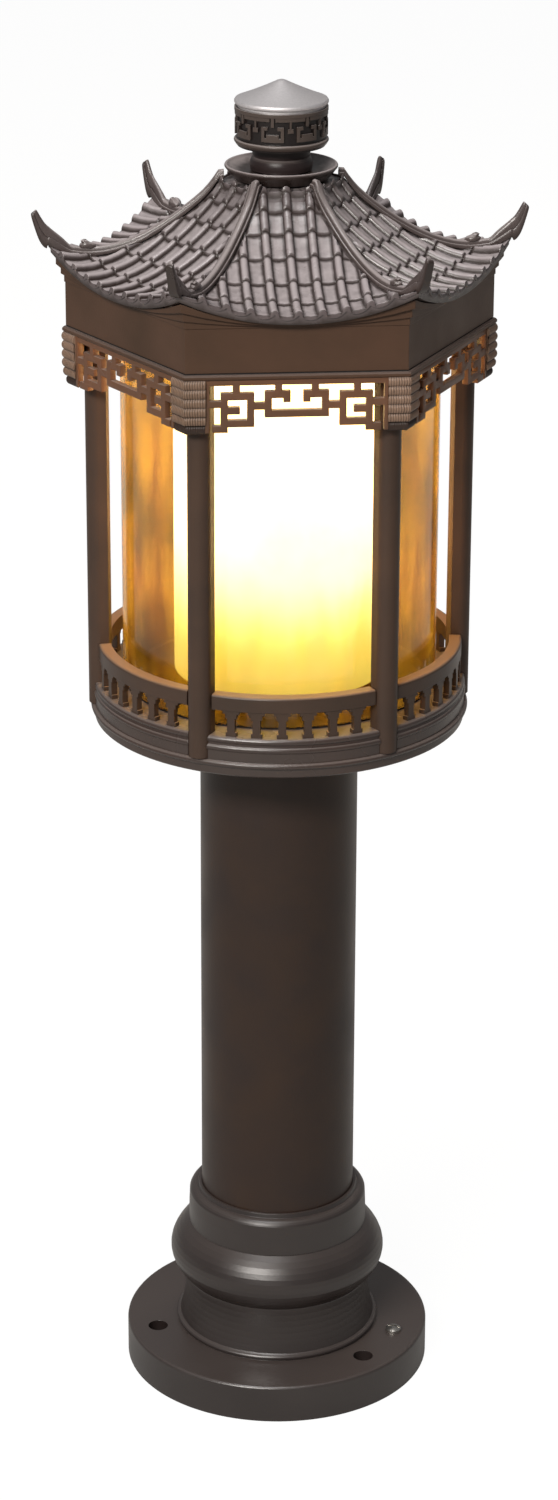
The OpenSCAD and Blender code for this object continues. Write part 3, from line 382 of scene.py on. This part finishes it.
# Dark at the foot as painted shade, and the tube's amber higher up.
tint = add(tree, "ShaderNodeMix", {"data_type": "RGBA"}, Factor=rise.outputs[0],
           i6=linear("#6f634a"), i7=linear("#d8c292"))
acrylic = add(tree, "ShaderNodeBsdfPrincipled", Base_Color=tint.outputs["Result"], Roughness=0.03,
              IOR=1.49, Transmission_Weight=1.0)
stain = add(tree, "ShaderNodeMapping", Vector=place,
            Scale=(1000 / streak_wide, 1000 / streak_wide, 1000 / streak_tall))
streak = add(tree, "ShaderNodeTexNoise", Vector=stain.outputs[0], Scale=1.0, Detail=3.0)
stained = add(tree, "ShaderNodeMapRange", Value=streak.outputs["Fac"], From_Min=0.4, From_Max=0.6)
film_tone = add(tree, "ShaderNodeMix", {"data_type": "RGBA"}, Factor=stained.outputs[0],
                i6=linear("#8f5f30"), i7=linear("#b88d35"))
film = add(tree, "ShaderNodeBsdfTranslucent", Color=film_tone.outputs["Result"])
haze = add(tree, "ShaderNodeTexNoise", Vector=place, Scale=1000 / haze_mm, Detail=5.0)
filmed = add(tree, "ShaderNodeMapRange", Value=haze.outputs["Fac"], From_Min=0.35, From_Max=0.75,
             To_Min=0.05, To_Max=0.22)
hazy = add(tree, "ShaderNodeMixShader", i0=filmed.outputs[0], i1=acrylic.outputs[0],
           i2=film.outputs[0])
print("tint deepens below mm:", shade_ends_at / mm)

# %% [markdown]
# A renderer lets such a tube throw a full shadow on what stands behind it, and a real one doesn't.
# So to shadow rays and to diffuse light this tube is a plain coloured filter, and the lamp lights
# its cage.

# %% Let the lamp's light through the tube
filter_tint = add(tree, "ShaderNodeBsdfTransparent", Color=linear("#fbe6c8"))
path = add(tree, "ShaderNodeLightPath")
unseen = add(tree, "ShaderNodeMath", {"operation": "MAXIMUM"},
             i0=path.outputs["Is Shadow Ray"], i1=path.outputs["Is Diffuse Ray"])
tube = add(tree, "ShaderNodeMixShader", i0=unseen.outputs[0], i1=hazy.outputs[0],
           i2=filter_tint.outputs[0])
add(tree, "ShaderNodeOutputMaterial", Surface=tube.outputs[0])
print("amber tube ready")

# %% [markdown]
# The inner cylinder is moulded opal acrylic with the bulb behind it: white where the bulb is, and
# yellow towards its foot, where less light reaches. A lamp inside a scattering solid would show the
# same but takes very long to render, so the wall itself glows here. Its colour changes over 56 mm
# of height, along an edge made uneven by soft marbling.

# %% Colour of the lit opal cylinder
glow_foot, glow_full = 0.489, 0.545
marble_wide, marble_tall = 38.46, 111.1
opal, tree = blank_finish("lit opal acrylic")
place = add(tree, "ShaderNodeTexCoord").outputs["Object"]
height = add(tree, "ShaderNodeSeparateXYZ", Vector=place).outputs["Z"]
marbling = add(tree, "ShaderNodeMapping", Vector=place,
               Scale=(1000 / marble_wide, 1000 / marble_wide, 1000 / marble_tall))
marble = add(tree, "ShaderNodeTexNoise", Vector=marbling.outputs[0], Scale=1.0, Detail=4.0,
             Distortion=1.2)
uneven = add(tree, "ShaderNodeMath", {"operation": "MULTIPLY_ADD"}, i0=marble.outputs["Fac"],
             i1=30 * mm, i2=height)
rise = add(tree, "ShaderNodeMapRange", {"interpolation_type": "SMOOTHSTEP"},
           Value=uneven.outputs[0], From_Min=glow_foot, From_Max=glow_full)
warm = add(tree, "ShaderNodeMix", {"data_type": "RGBA"}, Factor=marble.outputs["Fac"],
           i6=linear("#fff66a"), i7=linear("#fffcaa"))
tint = add(tree, "ShaderNodeMix", {"data_type": "RGBA"}, Factor=rise.outputs[0],
           i6=warm.outputs["Result"], i7=linear("#fff4dc"))
print("glow changes over mm:", round((glow_full - glow_foot) / mm))

# %% [markdown]
# A camera clips what is brighter than white, so the strength that the eye sees is set well above
# one. What the wall casts on the cage is set apart, because a white-clipped picture doesn't say how
# strong a lamp is. Both are weaker at the foot.

# %% Strength seen and strength cast
seen_foot, seen_full = 5.0, 10.0
cast_foot, cast_full = 2.6, 7.5
shown = add(tree, "ShaderNodeMapRange", Value=rise.outputs[0], To_Min=seen_foot, To_Max=seen_full)
cast = add(tree, "ShaderNodeMapRange", Value=rise.outputs[0], To_Min=cast_foot, To_Max=cast_full)
path = add(tree, "ShaderNodeLightPath")
seen = add(tree, "ShaderNodeMath", {"operation": "MAXIMUM"},
           i0=path.outputs["Is Camera Ray"], i1=path.outputs["Is Transmission Ray"])
power = add(tree, "ShaderNodeMix", Factor=seen.outputs[0], i2=cast.outputs[0], i3=shown.outputs[0])
lit = add(tree, "ShaderNodeBsdfPrincipled", Base_Color=linear("#f6efdc"), Roughness=0.35, IOR=1.49,
          Emission_Color=tint.outputs["Result"], Emission_Strength=power.outputs["Result"])
add(tree, "ShaderNodeOutputMaterial", Surface=lit.outputs[0])
print("strength seen:", seen_foot, "to", seen_full, "and cast:", cast_foot, "to", cast_full)

# %% [markdown]
# ## Small finishes inside
# These show only when the roof is off or from below. One function serves them all, because they
# differ in colour, grain and shine alone, and each starts from what is usual for its material.

# %% Inside finishes
def plain_finish(name, light, dark, grain, **shader):
    """A finish whose tone varies between two colours over a grain in millimetres."""
    finish, tree = blank_finish(name)
    place = add(tree, "ShaderNodeTexCoord").outputs["Object"]
    speck = add(tree, "ShaderNodeTexNoise", Vector=place, Scale=1000 / grain, Detail=3.0)
    tone = add(tree, "ShaderNodeMix", {"data_type": "RGBA"}, Factor=speck.outputs["Fac"],
               i6=linear(light), i7=linear(dark))
    fine = add(tree, "ShaderNodeBump", Height=speck.outputs["Fac"], Strength=0.08, Distance=0.2 * mm)
    body = add(tree, "ShaderNodeBsdfPrincipled", Base_Color=tone.outputs["Result"],
               Normal=fine.outputs[0], **shader)
    add(tree, "ShaderNodeOutputMaterial", Surface=body.outputs[0])
    return finish


# Steel plated and brightened: a cool metal, a little cloudy.
zinc = plain_finish("bright zinc plate", "#c4c0ba", "#9c9892", 3.0, Metallic=0.95, Roughness=0.36)
# Rubber from a mould, bloomed and matt.
rubber = plain_finish("moulded EPDM rubber", "#211f1e", "#171615", 2.0, Roughness=0.8, IOR=1.5)
# Natural polyamide: waxy and off-white.
nylon = plain_finish("moulded polyamide", "#ddd8ca", "#cdc7b6", 5.0, Roughness=0.45, IOR=1.53)
# The lamp lead's heatproof sleeve: soft black with a dull shine.
sheath = plain_finish("silicone sheath", "#2c2a29", "#201f1e", 4.0, Roughness=0.55, IOR=1.41)
# Black plastic from a lightly textured mould.
seat = plain_finish("moulded black ABS", "#2b2624", "#1f1c1b", 3.0, Roughness=0.5, IOR=1.54)
# A glazed ceramic body: creamy, with a wet-looking shine.
steatite = plain_finish("glazed steatite", "#efebe0", "#e2dccd", 6.0, Roughness=0.18, IOR=1.55)
# The bulb's threaded cap: thin, bright and slightly warm.
shell = plain_finish("rolled nickel-plated brass", "#cfcac0", "#b3aea4", 2.0,
                     Metallic=1.0, Roughness=0.28)
# The bulb is lit, so its white glass glows a little by itself.
bulb = plain_finish("opal glass", "#fbf7ee", "#f4efe2", 20.0, Roughness=0.25, IOR=1.52,
                    Emission_Color=linear("#fff1d2"), Emission_Strength=2.0)
print("finishes:", len(bpy.data.materials))

# %% [markdown]
# ## Making a piece from points
# Cast ornament repeats, so most pieces here are grids of points worked out by a rule, joined into
# quads. A grid can be modelled by hand too, but a rule keeps every tile and flute at its true
# pitch. Smooth shading with sharp edges above an angle gives rolls that look round next to crisp
# steps. A fourth number on a point is its mark, which says how deep it lies, from 0 to 1, and so how
# much painted shade the paint gives it there.

# %% Set a finished mesh on its body
def placed(name, mesh, finish, sharp, body):
    """Shades a mesh, sharp above so many degrees, paints it, and lets it ride on a body."""
    mesh.shade_smooth()
    mesh.set_sharp_from_angle(angle=math.radians(sharp))
    mesh.materials.append(finish)
    made = bpy.data.objects.new(name, mesh)
    bpy.context.scene.collection.objects.link(made)
    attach(made, body)
    print(name, "faces:", len(mesh.polygons))
    return made


# %% A mesh from a list of grids
weld_mm, sliver_mm = 0.02, 0.01


def grid_mesh(name, grids):
    """Joins grids of points in mm. A grid is a list of rows, all with as many points."""
    points, faces, marks = [], [], []
    for grid in grids:
        start, wide = len(points), len(grid[0])
        for row in grid:
            for point in row:
                points.append([c * mm for c in point[:3]])
                marks.append(point[3] if len(point) > 3 else 0.0)
        for i in range(len(grid) - 1):
            for j in range(wide - 1):
                p = start + i * wide + j
                faces.append((p, p + 1, p + wide + 1, p + wide))
    mesh = bpy.data.meshes.new(name)
    mesh.from_pydata(points, [], faces)
    # The mark is kept as the attribute deep, which the paint reads for painted shade.
    mesh.attributes.new("deep", "FLOAT", "POINT").data.foreach_set("value", marks)
    return mesh


def piece(name, grids, finish, body, sharp, stands_for=()):
    """Welds grids into one object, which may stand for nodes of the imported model."""
    mesh = grid_mesh(name, grids)
    form = bmesh.new()
    form.from_mesh(mesh)
    bmesh.ops.remove_doubles(form, verts=form.verts, dist=weld_mm * mm)
    bmesh.ops.dissolve_degenerate(form, edges=form.edges, dist=sliver_mm * mm)
    bmesh.ops.recalc_face_normals(form, faces=form.faces)
    form.to_mesh(mesh)
    form.free()
    made = placed(name, mesh, finish, sharp, body)
    if stands_for:
        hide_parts(*stands_for)


def turned(point, degrees):
    """A point in mm turned about the lamp's axis; anything after x, y, z stays."""
    t = math.radians(degrees)
    x, y = point[0], point[1]
    return (x * math.cos(t) - y * math.sin(t), x * math.sin(t) + y * math.cos(t), *point[2:])


def drawn_in(ring):
    """A grid that closes a ring of marked points, by drawing it in to its middle."""
    middle = tuple(sum(point[i] for point in ring) / len(ring) for i in range(4))
    return [ring, [middle] * len(ring)]


print("points closer than", weld_mm, "mm are welded")

# %% [markdown]
# ## The tiled roof
# The roof is one casting made to look tiled. Narrow rolls run down the slope 12.9 mm apart, and
# between them lie wide pans, hollow like a gutter. There are six courses, and the lower edge of
# each stands a millimetre proud of the next. At the eave each pan ends in a hanging drip tongue, and
# the rolls end between the tongues. The slope itself is a hollow curve, lifted at the corners.
# It could be sculpted, but a height rule for one tile gives all of them, crisp and at true pitch.
# The marks darken its deep places with painted shade.

# %% The roof's surface
crown_z, crown_a = 745.3, 27.0                      # the slope's top: height, and way from the axis
eave_z, eave_a = 693.9, 113.0                       # its lower edge, in the middle of a side
tuck_a, tuck_z = crown_a - 12, crown_z - 0.1        # where the tiles end, just under the disc
corner_lift, shell_t = 14.6, 3.6                    # rise of the corners, thickness of the casting
hollowness, lift_across, lift_down = 1.9, 2.1, 2.4  # powers that shape the slope and the lift
collar_high, collar_a, collar_wide = 3.0, 40, 9     # the rise under the disc
cos30, tan30 = math.cos(math.radians(30)), math.tan(math.radians(30))
horn_r = eave_a / cos30                             # the corners' way from the axis
courses = [32.4, 38.6, 49.0, 62.4, 78.6, 95.5, eave_a]


def roof_z(a, u):
    """Height of the bare slope, a mm from the axis towards an eave and u mm along it."""
    t = max(0, (a - crown_a) / (eave_a - crown_a))
    hollow = (crown_z - eave_z) * max(0, 1 - t) ** hollowness
    corner = corner_lift * (abs(u) / (eave_a * tan30)) ** lift_across * t ** lift_down
    collar = collar_high * max(0, (collar_a - a) / collar_wide) ** 2
    return min(tuck_z, eave_z + hollow + corner + collar)


print("courses end at mm:", courses)

# %% [markdown]
# Across a side, one short rule gives the relief: half a round for the roll, a hollow for the pan,
# and a crease where they meet. It also gives the painted shade: the most in the crease, some over the
# whole pan, and more down the roll's flanks. The points stand closer together on the roll, because it
# bends more.

# %% One tile's profile
tile_pitch, roll_half = 12.9, 2.5
roll_foot, roll_high = 0.7, 2.7
pan_foot, pan_high = 0.15, 1.1
crease_wide, crease_deep = 1.8, 0.8
rolls_a_side, roll_points, roll_spread = 9, 9, 1.02
pan_steps = (0.45, 1.1, 2.2, 4.1, 6.0, 7.1, 7.75)
first_pan, last_pan_cut = (8.6, 10.0), 3


def tile_profile(x):
    """Relief in mm and painted shade from 0 to 1, x mm from the middle of the nearest roll."""
    x = abs(x)
    if x < roll_half:
        share = x / roll_half
        return roll_foot + roll_high * math.sqrt(1 - share ** 2), 0.85 * share ** 3
    pan = (tile_pitch / 2 - x) / (tile_pitch / 2 - roll_half)
    crease = max(0, 1 - (x - roll_half) / crease_wide)
    return pan_foot + pan_high * pan ** 2 - crease_deep * crease, 0.4 + 0.65 * crease


def across():
    """Offsets in mm of the points across one side. The ridges cover the first and last pan."""
    outermost = rolls_a_side // 2
    offsets = [-(outermost + 1) * tile_pitch + step for step in first_pan]
    for i in range(-outermost, outermost + 1):
        middle = i * tile_pitch
        offsets += [middle - roll_half * math.cos(math.pi * j / (roll_points - 1)) * roll_spread
                    for j in range(roll_points)]
        offsets += [middle + roll_half + step for step in pan_steps]
    return offsets[:-last_pan_cut]


print("points across one side:", len(across()))

# %% [markdown]
# Down the slope, each course starts in the shadow of the one above, rises a little towards its
# lower edge and ends in a rounded lip. Three rows close together under each lip carry painted shade,
# which draws the dark line that the eye reads as a joint.

# %% Rows down the slope
def slope_rows():
    """Distance from the axis, lift of the course, share of the relief, and painted shade of each row.

    The painted shade is heaviest near the crown.
    """
    # The rows under the disc carry painted shade.
    rows = [(tuck_a, 0, 0, 0.6), (31.4, -0.2, 0, 0.6), (31.5, 0.9, 0.55, 0), (31.9, 1.5, 1, 0),
            (courses[0], 1.6, 1, 0)]
    for i, (top, low) in enumerate(zip(courses, courses[1:])):
        # Painted shade near the crown, less on each course down.
        crown_shade = max(0, 0.6 - 0.14 * i)
        rows += [(top + 0.08, -0.35, 0.9, 1), (top + 0.75, -0.05, 1, 0.85), (top + 1.4, 0.1, 1, 0.6),
                 (top + 2.2, 0.15, 1, crown_shade)]
        rows += [(top + (low - top) * f, 1.15 * f ** 1.5, 1, crown_shade) for f in (0.35, 0.65)]
        rows += [(low - 0.7, 1.15, 1, crown_shade), (low - 0.2, 1.05, 0.98, crown_shade), (low, 0.7, 0.94, crown_shade)]
    return rows


print("rows down one side:", len(slope_rows()))

# %% Points of the tiles and the drip edge
ridge_cover, fade = 4.0, 1.4    # what a ridge hides on either side, and where the relief rises
tongue_deep, notch_high, notch_round = 1.1, 2.9, 2.2


def off_roll(u):
    """How far u mm along a side lies from the nearest roll, as a share of the pitch."""
    return u / tile_pitch - round(u / tile_pitch)


def clear_of_ridge(a, u):
    """0 under the ridge along the hip, 1 where the tiles lie open."""
    return max(0.0, min(1.0, (a * tan30 - ridge_cover - abs(u)) / fade))


def tile_point(a, lift, share, shade_mark, u):
    """A point of the tiles; the relief fades out under the ridge."""
    edge = a * tan30 - ridge_cover
    inside = clear_of_ridge(a, u) if a > crown_a else 0.0
    high, relief_shade = tile_profile(off_roll(u) * tile_pitch)
    u = max(-edge, min(edge, u))
    z = roof_z(a, u) + (lift + high * share) * inside
    # Under the ridge the point gets painted shade.
    return (a, u, z, max(relief_shade, shade_mark, 0.8 * (1 - inside)))


def drip(a, drop, u):
    """A point of the drip edge or, with a drop in mm, of the underside.

    Tongues hang below the pans, and notches lie under the rolls.
    """
    hip = a * tan30
    off_pan = 1 - abs(off_roll(u)) * 2
    u = max(-hip, min(hip, u))
    low = -tongue_deep + notch_high * off_pan ** notch_round * clear_of_ridge(a, u)
    # The drip face gets a little painted shade, and the underside full painted shade.
    return (a, u, roof_z(a, u) + (low if drop is None else -drop), 0.25 if drop is None else 1.0)


tongue = roof_z(eave_a, tile_pitch / 2) - drip(eave_a, None, tile_pitch / 2)[2]
print("a tongue hangs by mm:", round(tongue, 2))

# %% [markdown]
# One side is four grids: the tiles, the face of the drip edge, the underside, and the inner edge
# that joins it to the tiles again. Six turned copies weld into one closed skin.

# %% Tile the six sides
under_rows = [(eave_a, None), (eave_a - 0.9, None), (eave_a - 1.0, shell_t)]
under_rows += [(a, shell_t) for a in (104, 94, 80, 66, 52, 40, crown_a, tuck_a)]


def roof_side(turn):
    """The grids of one side."""
    offsets = across()
    tiles, under = [], []
    for a, lift, share, shade_mark in slope_rows():
        hip = a * tan30
        # The points at the hips, under the ridges, and those under the disc get painted shade.
        ends = [(a, u, roof_z(a, hip), 0.6) for u in (-hip, hip)]
        row = [tile_point(a, lift, share, shade_mark, u) for u in offsets]
        tiles.append([turned(point, turn) for point in [ends[0], *row, ends[1]]])
    for a, drop in under_rows:
        hip = a * tan30
        under.append([turned(drip(a, drop, u), turn) for u in [-hip, *offsets, hip]])
    last = len(offsets) + 1
    top = [turned((tuck_a, tuck_a * tan30 * (2 * i / last - 1), tuck_z, 0.6), turn)
           for i in range(last + 1)]
    return [tiles, [tiles[-1], under[0]], under, [under[-1], top]]


piece("roof_tiles", [grid for k in range(6) for grid in roof_side(60 * k + 30)], tile_coat, "roof",
      sharp=42, stands_for=["roof_shell"])

# %% [markdown]
# ## The crown disc
# A dished disc closes the top of the roof. Its rim is left free of painted shade, so the painted top
# light makes it bright, and its dish and underside get painted shade. The imported disc has the right
# shape but no marks for the paint, so it is turned here again from one outline whose points carry the
# same mark as the tiles.

# %% Turn the crown disc
rim_r, rim_z, bore_r, spigot_r = 30.8, 6.6, 5.4, 14.2


def lathe(outline, cuts=96):
    """Turns (r, z, mark) points in mm about the lamp's axis."""
    return [[turned((r, 0, z, mark), 360 * i / cuts) for i in range(cuts + 1)]
            for r, z, mark in outline]


# The rim's top is unshaded; its lower round, the dish and the underside carry painted shade.
rim = [(rim_r + math.cos(math.radians(t)), rim_z + math.sin(math.radians(t)), 0.8 if t < 10 else 0.0)
       for t in range(150, -21, -17)]
disc = [(bore_r, 3.7, 1), (19.3, 3.7, 1), (22.5, 3.85, 0.9), (25.5, 4.5, 0.6), (28, 5.7, 0.4)] + rim
disc += [(29.6, 3.4, 1), (26.6, 0, 1), (spigot_r, 0, 1), (spigot_r, -shell_t, 1),
         (bore_r, -shell_t, 1), (bore_r, 3.7, 1)]
piece("crown_disc_turned", [lathe([(r, crown_z + z, mark) for r, z, mark in disc])], ridge_coat,
      "roof", sharp=35, stands_for=["crown_disc"])

# %% [markdown]
# ## Hip ridges and horns
# Each hip carries a ridge: a flat band with a roll on top, swept down the curve of the roof. At the
# corner it dips in a small beak and then climbs into a horn with a blunt tip. Sweeping one section
# along stations is how a moulding is drawn. It keeps the band's width even along the slope, and it
# lets the height and width change up the horn.

# %% Stations of a ridge
ridge_from, ridge_short = 32.2, 12      # where the even part starts, and ends before the corner
ridge_half, ridge_high, ridge_seat = 3.2, 4.6, 0.25
slope_cuts, horn_cuts = 30, 5
# From the roof's corner: the foot's way out and up, the top's way out and up, and the width's share.
# Up to the corner the foot lies on the hip.
horn = [(-6, None, -7.4, 4.1, 0.97), (0, None, -1.8, 8.8, 0.9), (1.1, -1.6, -0.4, 10.1, 0.88),
        (3.6, 0.4, 1.7, 12.1, 0.85), (6.1, 5.4, 4.0, 15.7, 0.78), (9.2, 15.8, 6.2, 19.6, 0.66),
        (9.1, 17.6, 7.1, 19.6, 0.4)]


def hip_z(r):
    """Height of the hip, r mm from the axis, where the ridge sits."""
    return roof_z(r * cos30, r / 2) + ridge_seat


def eased(before, start, end, after, t):
    """A value between start and end on the smooth curve through all four."""
    return 0.5 * (2 * start + (end - before) * t
                  + (2 * before - 5 * start + 4 * end - after) * t * t
                  + (3 * start - before - 3 * end + after) * t ** 3)


def stations():
    """Foot (r, z), top (r, z) and half width down a hip and up its horn."""
    corner = hip_z(horn_r)
    even = horn_r - ridge_short - ridge_from
    line = [(r, hip_z(r), r, hip_z(r) + ridge_high, ridge_half)
            for r in (ridge_from + even * i / slope_cuts for i in range(slope_cuts + 1))]
    for low_r, low_z, top_r, top_z, wide in horn:
        low = hip_z(horn_r + low_r) if low_z is None else corner + low_z
        line.append((horn_r + low_r, low, horn_r + top_r, corner + top_z, wide * ridge_half))
    fine = []
    for i in range(len(line) - 1):
        four = line[max(i - 1, 0)], line[i], line[i + 1], line[min(i + 2, len(line) - 1)]
        cuts = 1 if i < slope_cuts - 1 else horn_cuts
        fine += [[eased(*values, j / cuts) for values in zip(*four)] for j in range(cuts)]
    return fine + [list(line[-1])]


print("stations:", len(stations()))

# %% [markdown]
# The section's points are given as shares of the ridge's half width and height, so one section
# serves every station. The groove between band and roll gets painted shade. Past the corner the lower
# sides of the horn get more painted shade.

# %% Sweep the ridges
horn_shade = 0.35
# The third number of each point is its painted shade.
ridge_roll = [(0.62 * math.cos(math.pi * i / 10), 0.6 + 0.4 * math.sin(math.pi * i / 10), 0.0)
              for i in range(11)]
ridge_band = [(1, 0, 0.7), (1.04, 0.3, 0.1), (0.98, 0.46, 0.0), (0.84, 0.52, 0.1), (0.7, 0.44, 1.0)]
ridge_outline = [(-s, v, d) for s, v, d in ridge_band] + ridge_roll[::-1] + ridge_band[::-1]


def ridge_section(low_r, low_z, top_r, top_z, half):
    """The ring of points round one station."""
    on_horn = horn_shade * max(0, min(1, (low_r - horn_r + 3) / 4))
    ring = [(low_r + (top_r - low_r) * v, half * s, low_z + (top_z - low_z) * v,
             d + on_horn * (v < 0.6)) for s, v, d in ridge_outline]
    return ring + [ring[0]]


def ridge(turn):
    """The skin of one ridge and its two ends."""
    skin = [[turned(point, turn) for point in ridge_section(*s)] for s in stations()]
    return [skin, drawn_in(skin[0]), drawn_in(skin[-1])]


piece("ridges_with_horns", [grid for k in range(6) for grid in ridge(60 * k)], ridge_coat, "roof",
      sharp=45, stands_for=["hip_ridges"])

# %% [markdown]
# A small crouching figure sits before each horn, as on such roofs. Weather and paint have left it
# a soft lump, so a few rings, lofted with a ripple round them, give all of it that the eye can see.

# %% Seat a worn figure on each ridge
figure_r, figure_seat = 108.5, 4.3      # way from the axis, and height above the hip
lump_long, lump_high = 0.12, 0.25
# Shift along the ridge, height, half length and half width of each ring.
figure_rings = [(0, 0, 4.4, 2.5), (0.2, 1.0, 4.5, 2.7), (0.4, 1.9, 4.0, 2.5),
                (0.6, 2.5, 2.6, 2.2), (1.5, 3.1, 2.2, 1.9), (1.9, 3.8, 1.9, 1.7),
                (1.9, 4.3, 0.9, 0.8), (1.9, 4.5, 0.1, 0.1)]


def figure(turn, cuts=20):
    """One figure, lofted through its rings."""
    base = hip_z(figure_r) + figure_seat
    grid = []
    for shift, high, long, wide in figure_rings:
        ring = []
        for i in range(cuts + 1):
            t = 2 * math.pi * i / cuts
            along = long * math.cos(t) * (1 + lump_long * math.sin(3 * t))
            z = base + high + lump_high * math.cos(5 * t)
            ring.append(turned((figure_r + shift + along, wide * math.sin(t), z), turn))
        grid.append(ring)
    return grid


piece("ridge_figures", [figure(60 * k) for k in range(6)], ridge_coat, "roof", sharp=60)

# %% [markdown]
# ## Fluted brackets
# Under each corner of the band hangs a bracket of six stacked rolls that turn the corner. The rolls
# carry fine upright flutes, about 1.5 mm apart, which catch the light as a comb. A bump map would
# lose them at the outline. A flute is a ripple on the roll's radius along each leg, so it can be
# worked out point by point and stays true round the mitre.

# %% Outline of a bracket
bracket_top, face_a = 658.5, 107.7      # height of its top, and its face's distance from the axis
leg, bracket_deep = 12.4, 5.6           # length of a leg along the side, and depth behind the face
rolls, roll_step, bulge = 6, 5.1, 1.1   # the stacked rolls, their height and how far each bulges
flute_pitch, flute_deep, end_ripple = 1.45, 0.26, 0.8
seam_half, seam_deep, cove, foot_rise = 0.12, 0.35, 0.3, 1.5
foot_insets = {rolls - 2: 0.5, rolls - 1: 2.0}


def bracket_outline(ripple):
    """Depth behind the face and height, from the top at the back, down the rolls, to the foot."""
    radius = (roll_step / 2) ** 2 / 2 / bulge + bulge / 2
    half = math.asin(roll_step / 2 / radius)
    line = [(bracket_deep, 0), (bulge + cove, 0)]
    for i in range(rolls):
        inset = foot_insets.get(i, 0)
        for j in range(9):
            t = half * (1 - j / 4)
            flute = flute_deep * ripple * math.cos(t / half * math.pi / 2) ** 0.5
            out = bulge - radius * (1 - math.cos(t)) - flute
            high = (roll_step / 2 - seam_half) * math.sin(t) / math.sin(half)
            line.append((inset + bulge - out, -roll_step * (i + 0.5) + high))
        line.append((inset + bulge + seam_deep, -roll_step * (i + 1)))
    return line + [(bracket_deep, -roll_step * rolls + foot_rise)]


print("points in a bracket's outline:", len(bracket_outline(0)))

# %% Make the brackets
def bracket_leg(turn, side, columns=48):
    """One leg of the bracket, from the mitre along the side, with the end closed."""
    corner = face_a / cos30
    grid = []
    for i in range(columns + 1):
        t = leg * i / columns
        fluted = 0 < i < columns
        ripple = 0.5 - 0.5 * math.cos(2 * math.pi * t / flute_pitch)
        line = []
        for deep, high in bracket_outline(ripple if fluted else end_ripple):
            along = deep * tan30 + t * (1 - deep * tan30 / leg)
            x = corner - deep * cos30 - along * 0.5
            y = (along * cos30 - deep * 0.5) * side
            # Painted shade behind the rolls and in the flute grooves.
            shade_mark = 0.9 * (deep > bulge + cove) + 0.75 * ripple * fluted
            line.append(turned((x, y, bracket_top + high, shade_mark), turn))
        grid.append(line + [line[0]])
    return [grid, drawn_in(grid[-1])]


for k in range(6):
    piece(f"bracket_fluted_{k + 1}", bracket_leg(60 * k, 1) + bracket_leg(60 * k, -1), bracket_coat,
          "stem", sharp=40, stands_for=[f"bracket_{k + 1}"])

# %% [markdown]
# ## Frieze panels
# The fretwork is cast, so its bars have soft edges and a little swell that a drawn outline lacks.
# Each panel is made from a copy of its solid: every point moves out along its normal, and the
# sharp edges get a small bevel. A modifier could do both, but a mesh that is already final exports
# as it looks.

# %% Soften the fretwork
swell_mm, soft_mm = 0.35, 0.5
flat_degrees, crisp_degrees = 1, 30


def softened(name, node, swell, soft, finish, body, sharp=50):
    """A cast copy of a sharp solid, swollen and rounded by so many mm."""
    form = bmesh.new()
    form.from_mesh(nodes[node].data)
    bmesh.ops.remove_doubles(form, verts=form.verts, dist=0.005 * mm)
    bmesh.ops.dissolve_limit(form, angle_limit=math.radians(flat_degrees), verts=form.verts,
                             edges=form.edges)
    form.normal_update()
    moves = [v.normal * v.calc_shell_factor() * swell * mm for v in form.verts]
    for v, move in zip(form.verts, moves):
        v.co += move
    joined = [edge for edge in form.edges if len(edge.link_faces) == 2]
    crisp = [edge for edge in joined if edge.calc_face_angle() > math.radians(crisp_degrees)]
    bmesh.ops.bevel(form, geom=crisp, offset=soft * mm, segments=2, profile=0.5, affect="EDGES",
                    clamp_overlap=True)
    mesh = bpy.data.meshes.new(name)
    form.to_mesh(mesh)
    form.free()
    made = placed(name, mesh, finish, sharp, body)
    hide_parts(node)


for k in range(6):
    softened(f"frieze_cast_{k + 1}", f"frieze_{k + 1}", swell_mm, soft_mm, fret_coat, "stem")

# %% [markdown]
# ## Paint the solids
# A table of node names to finishes is easier to check than a long list of assignments. Numbered
# copies share the entry of their name without the number, and what isn't in the table is plated
# steel. The print lists those, which shows that no node was forgotten.

# %% Assign the finishes
finishes = {
    "base_casting": base_coat, "column_tube": column_coat, "tray": tray_coat,
    "balustrade": rail_coat, "post": post_coat, "top_ring": cage_coat,
    "frieze": fret_coat, "bracket": fret_coat, "fascia_box": cage_coat, "eave_cornice": cage_coat,
    "roof_shell": tile_coat, "hip_ridges": ridge_coat, "crown_disc": ridge_coat,
    "finial_neck": finial_coat, "finial_drum": drum_coat, "finial_cap": cap_coat,
    "clear_tube": amber, "glow_cylinder": opal, "glow_seat": seat, "lampholder": steatite,
    "bulb_cap": shell, "bulb_glass": bulb, "terminal_block": nylon, "lamp_lead": sheath,
    "column_seals": rubber, "tube_seals": rubber, "roof_gasket": rubber, "crown_washer": rubber,
}
for name, thing in nodes.items():
    stem = name if name in finishes else name.rstrip("0123456789_")
    thing.data.materials.clear()
    thing.data.materials.append(finishes.get(stem, zinc))
print("plain steel:", sorted(n for n, o in nodes.items() if o.data.materials[0] == zinc))

# %% [markdown]
# ## Check the size
# The dressed lamp may not outgrow the imported one, or it would no longer fit where the model says it
# does. So the box is measured again and kept beside the first, and the growth is printed in mm.

# %% Check the size
dressed_box = [list(corner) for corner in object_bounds()]
for side, dressed, cad in zip(("low", "high"), dressed_box, cad_box):
    print(side, "corner moved by mm:", [round((a - b) / mm, 2) for a, b in zip(dressed, cad)])
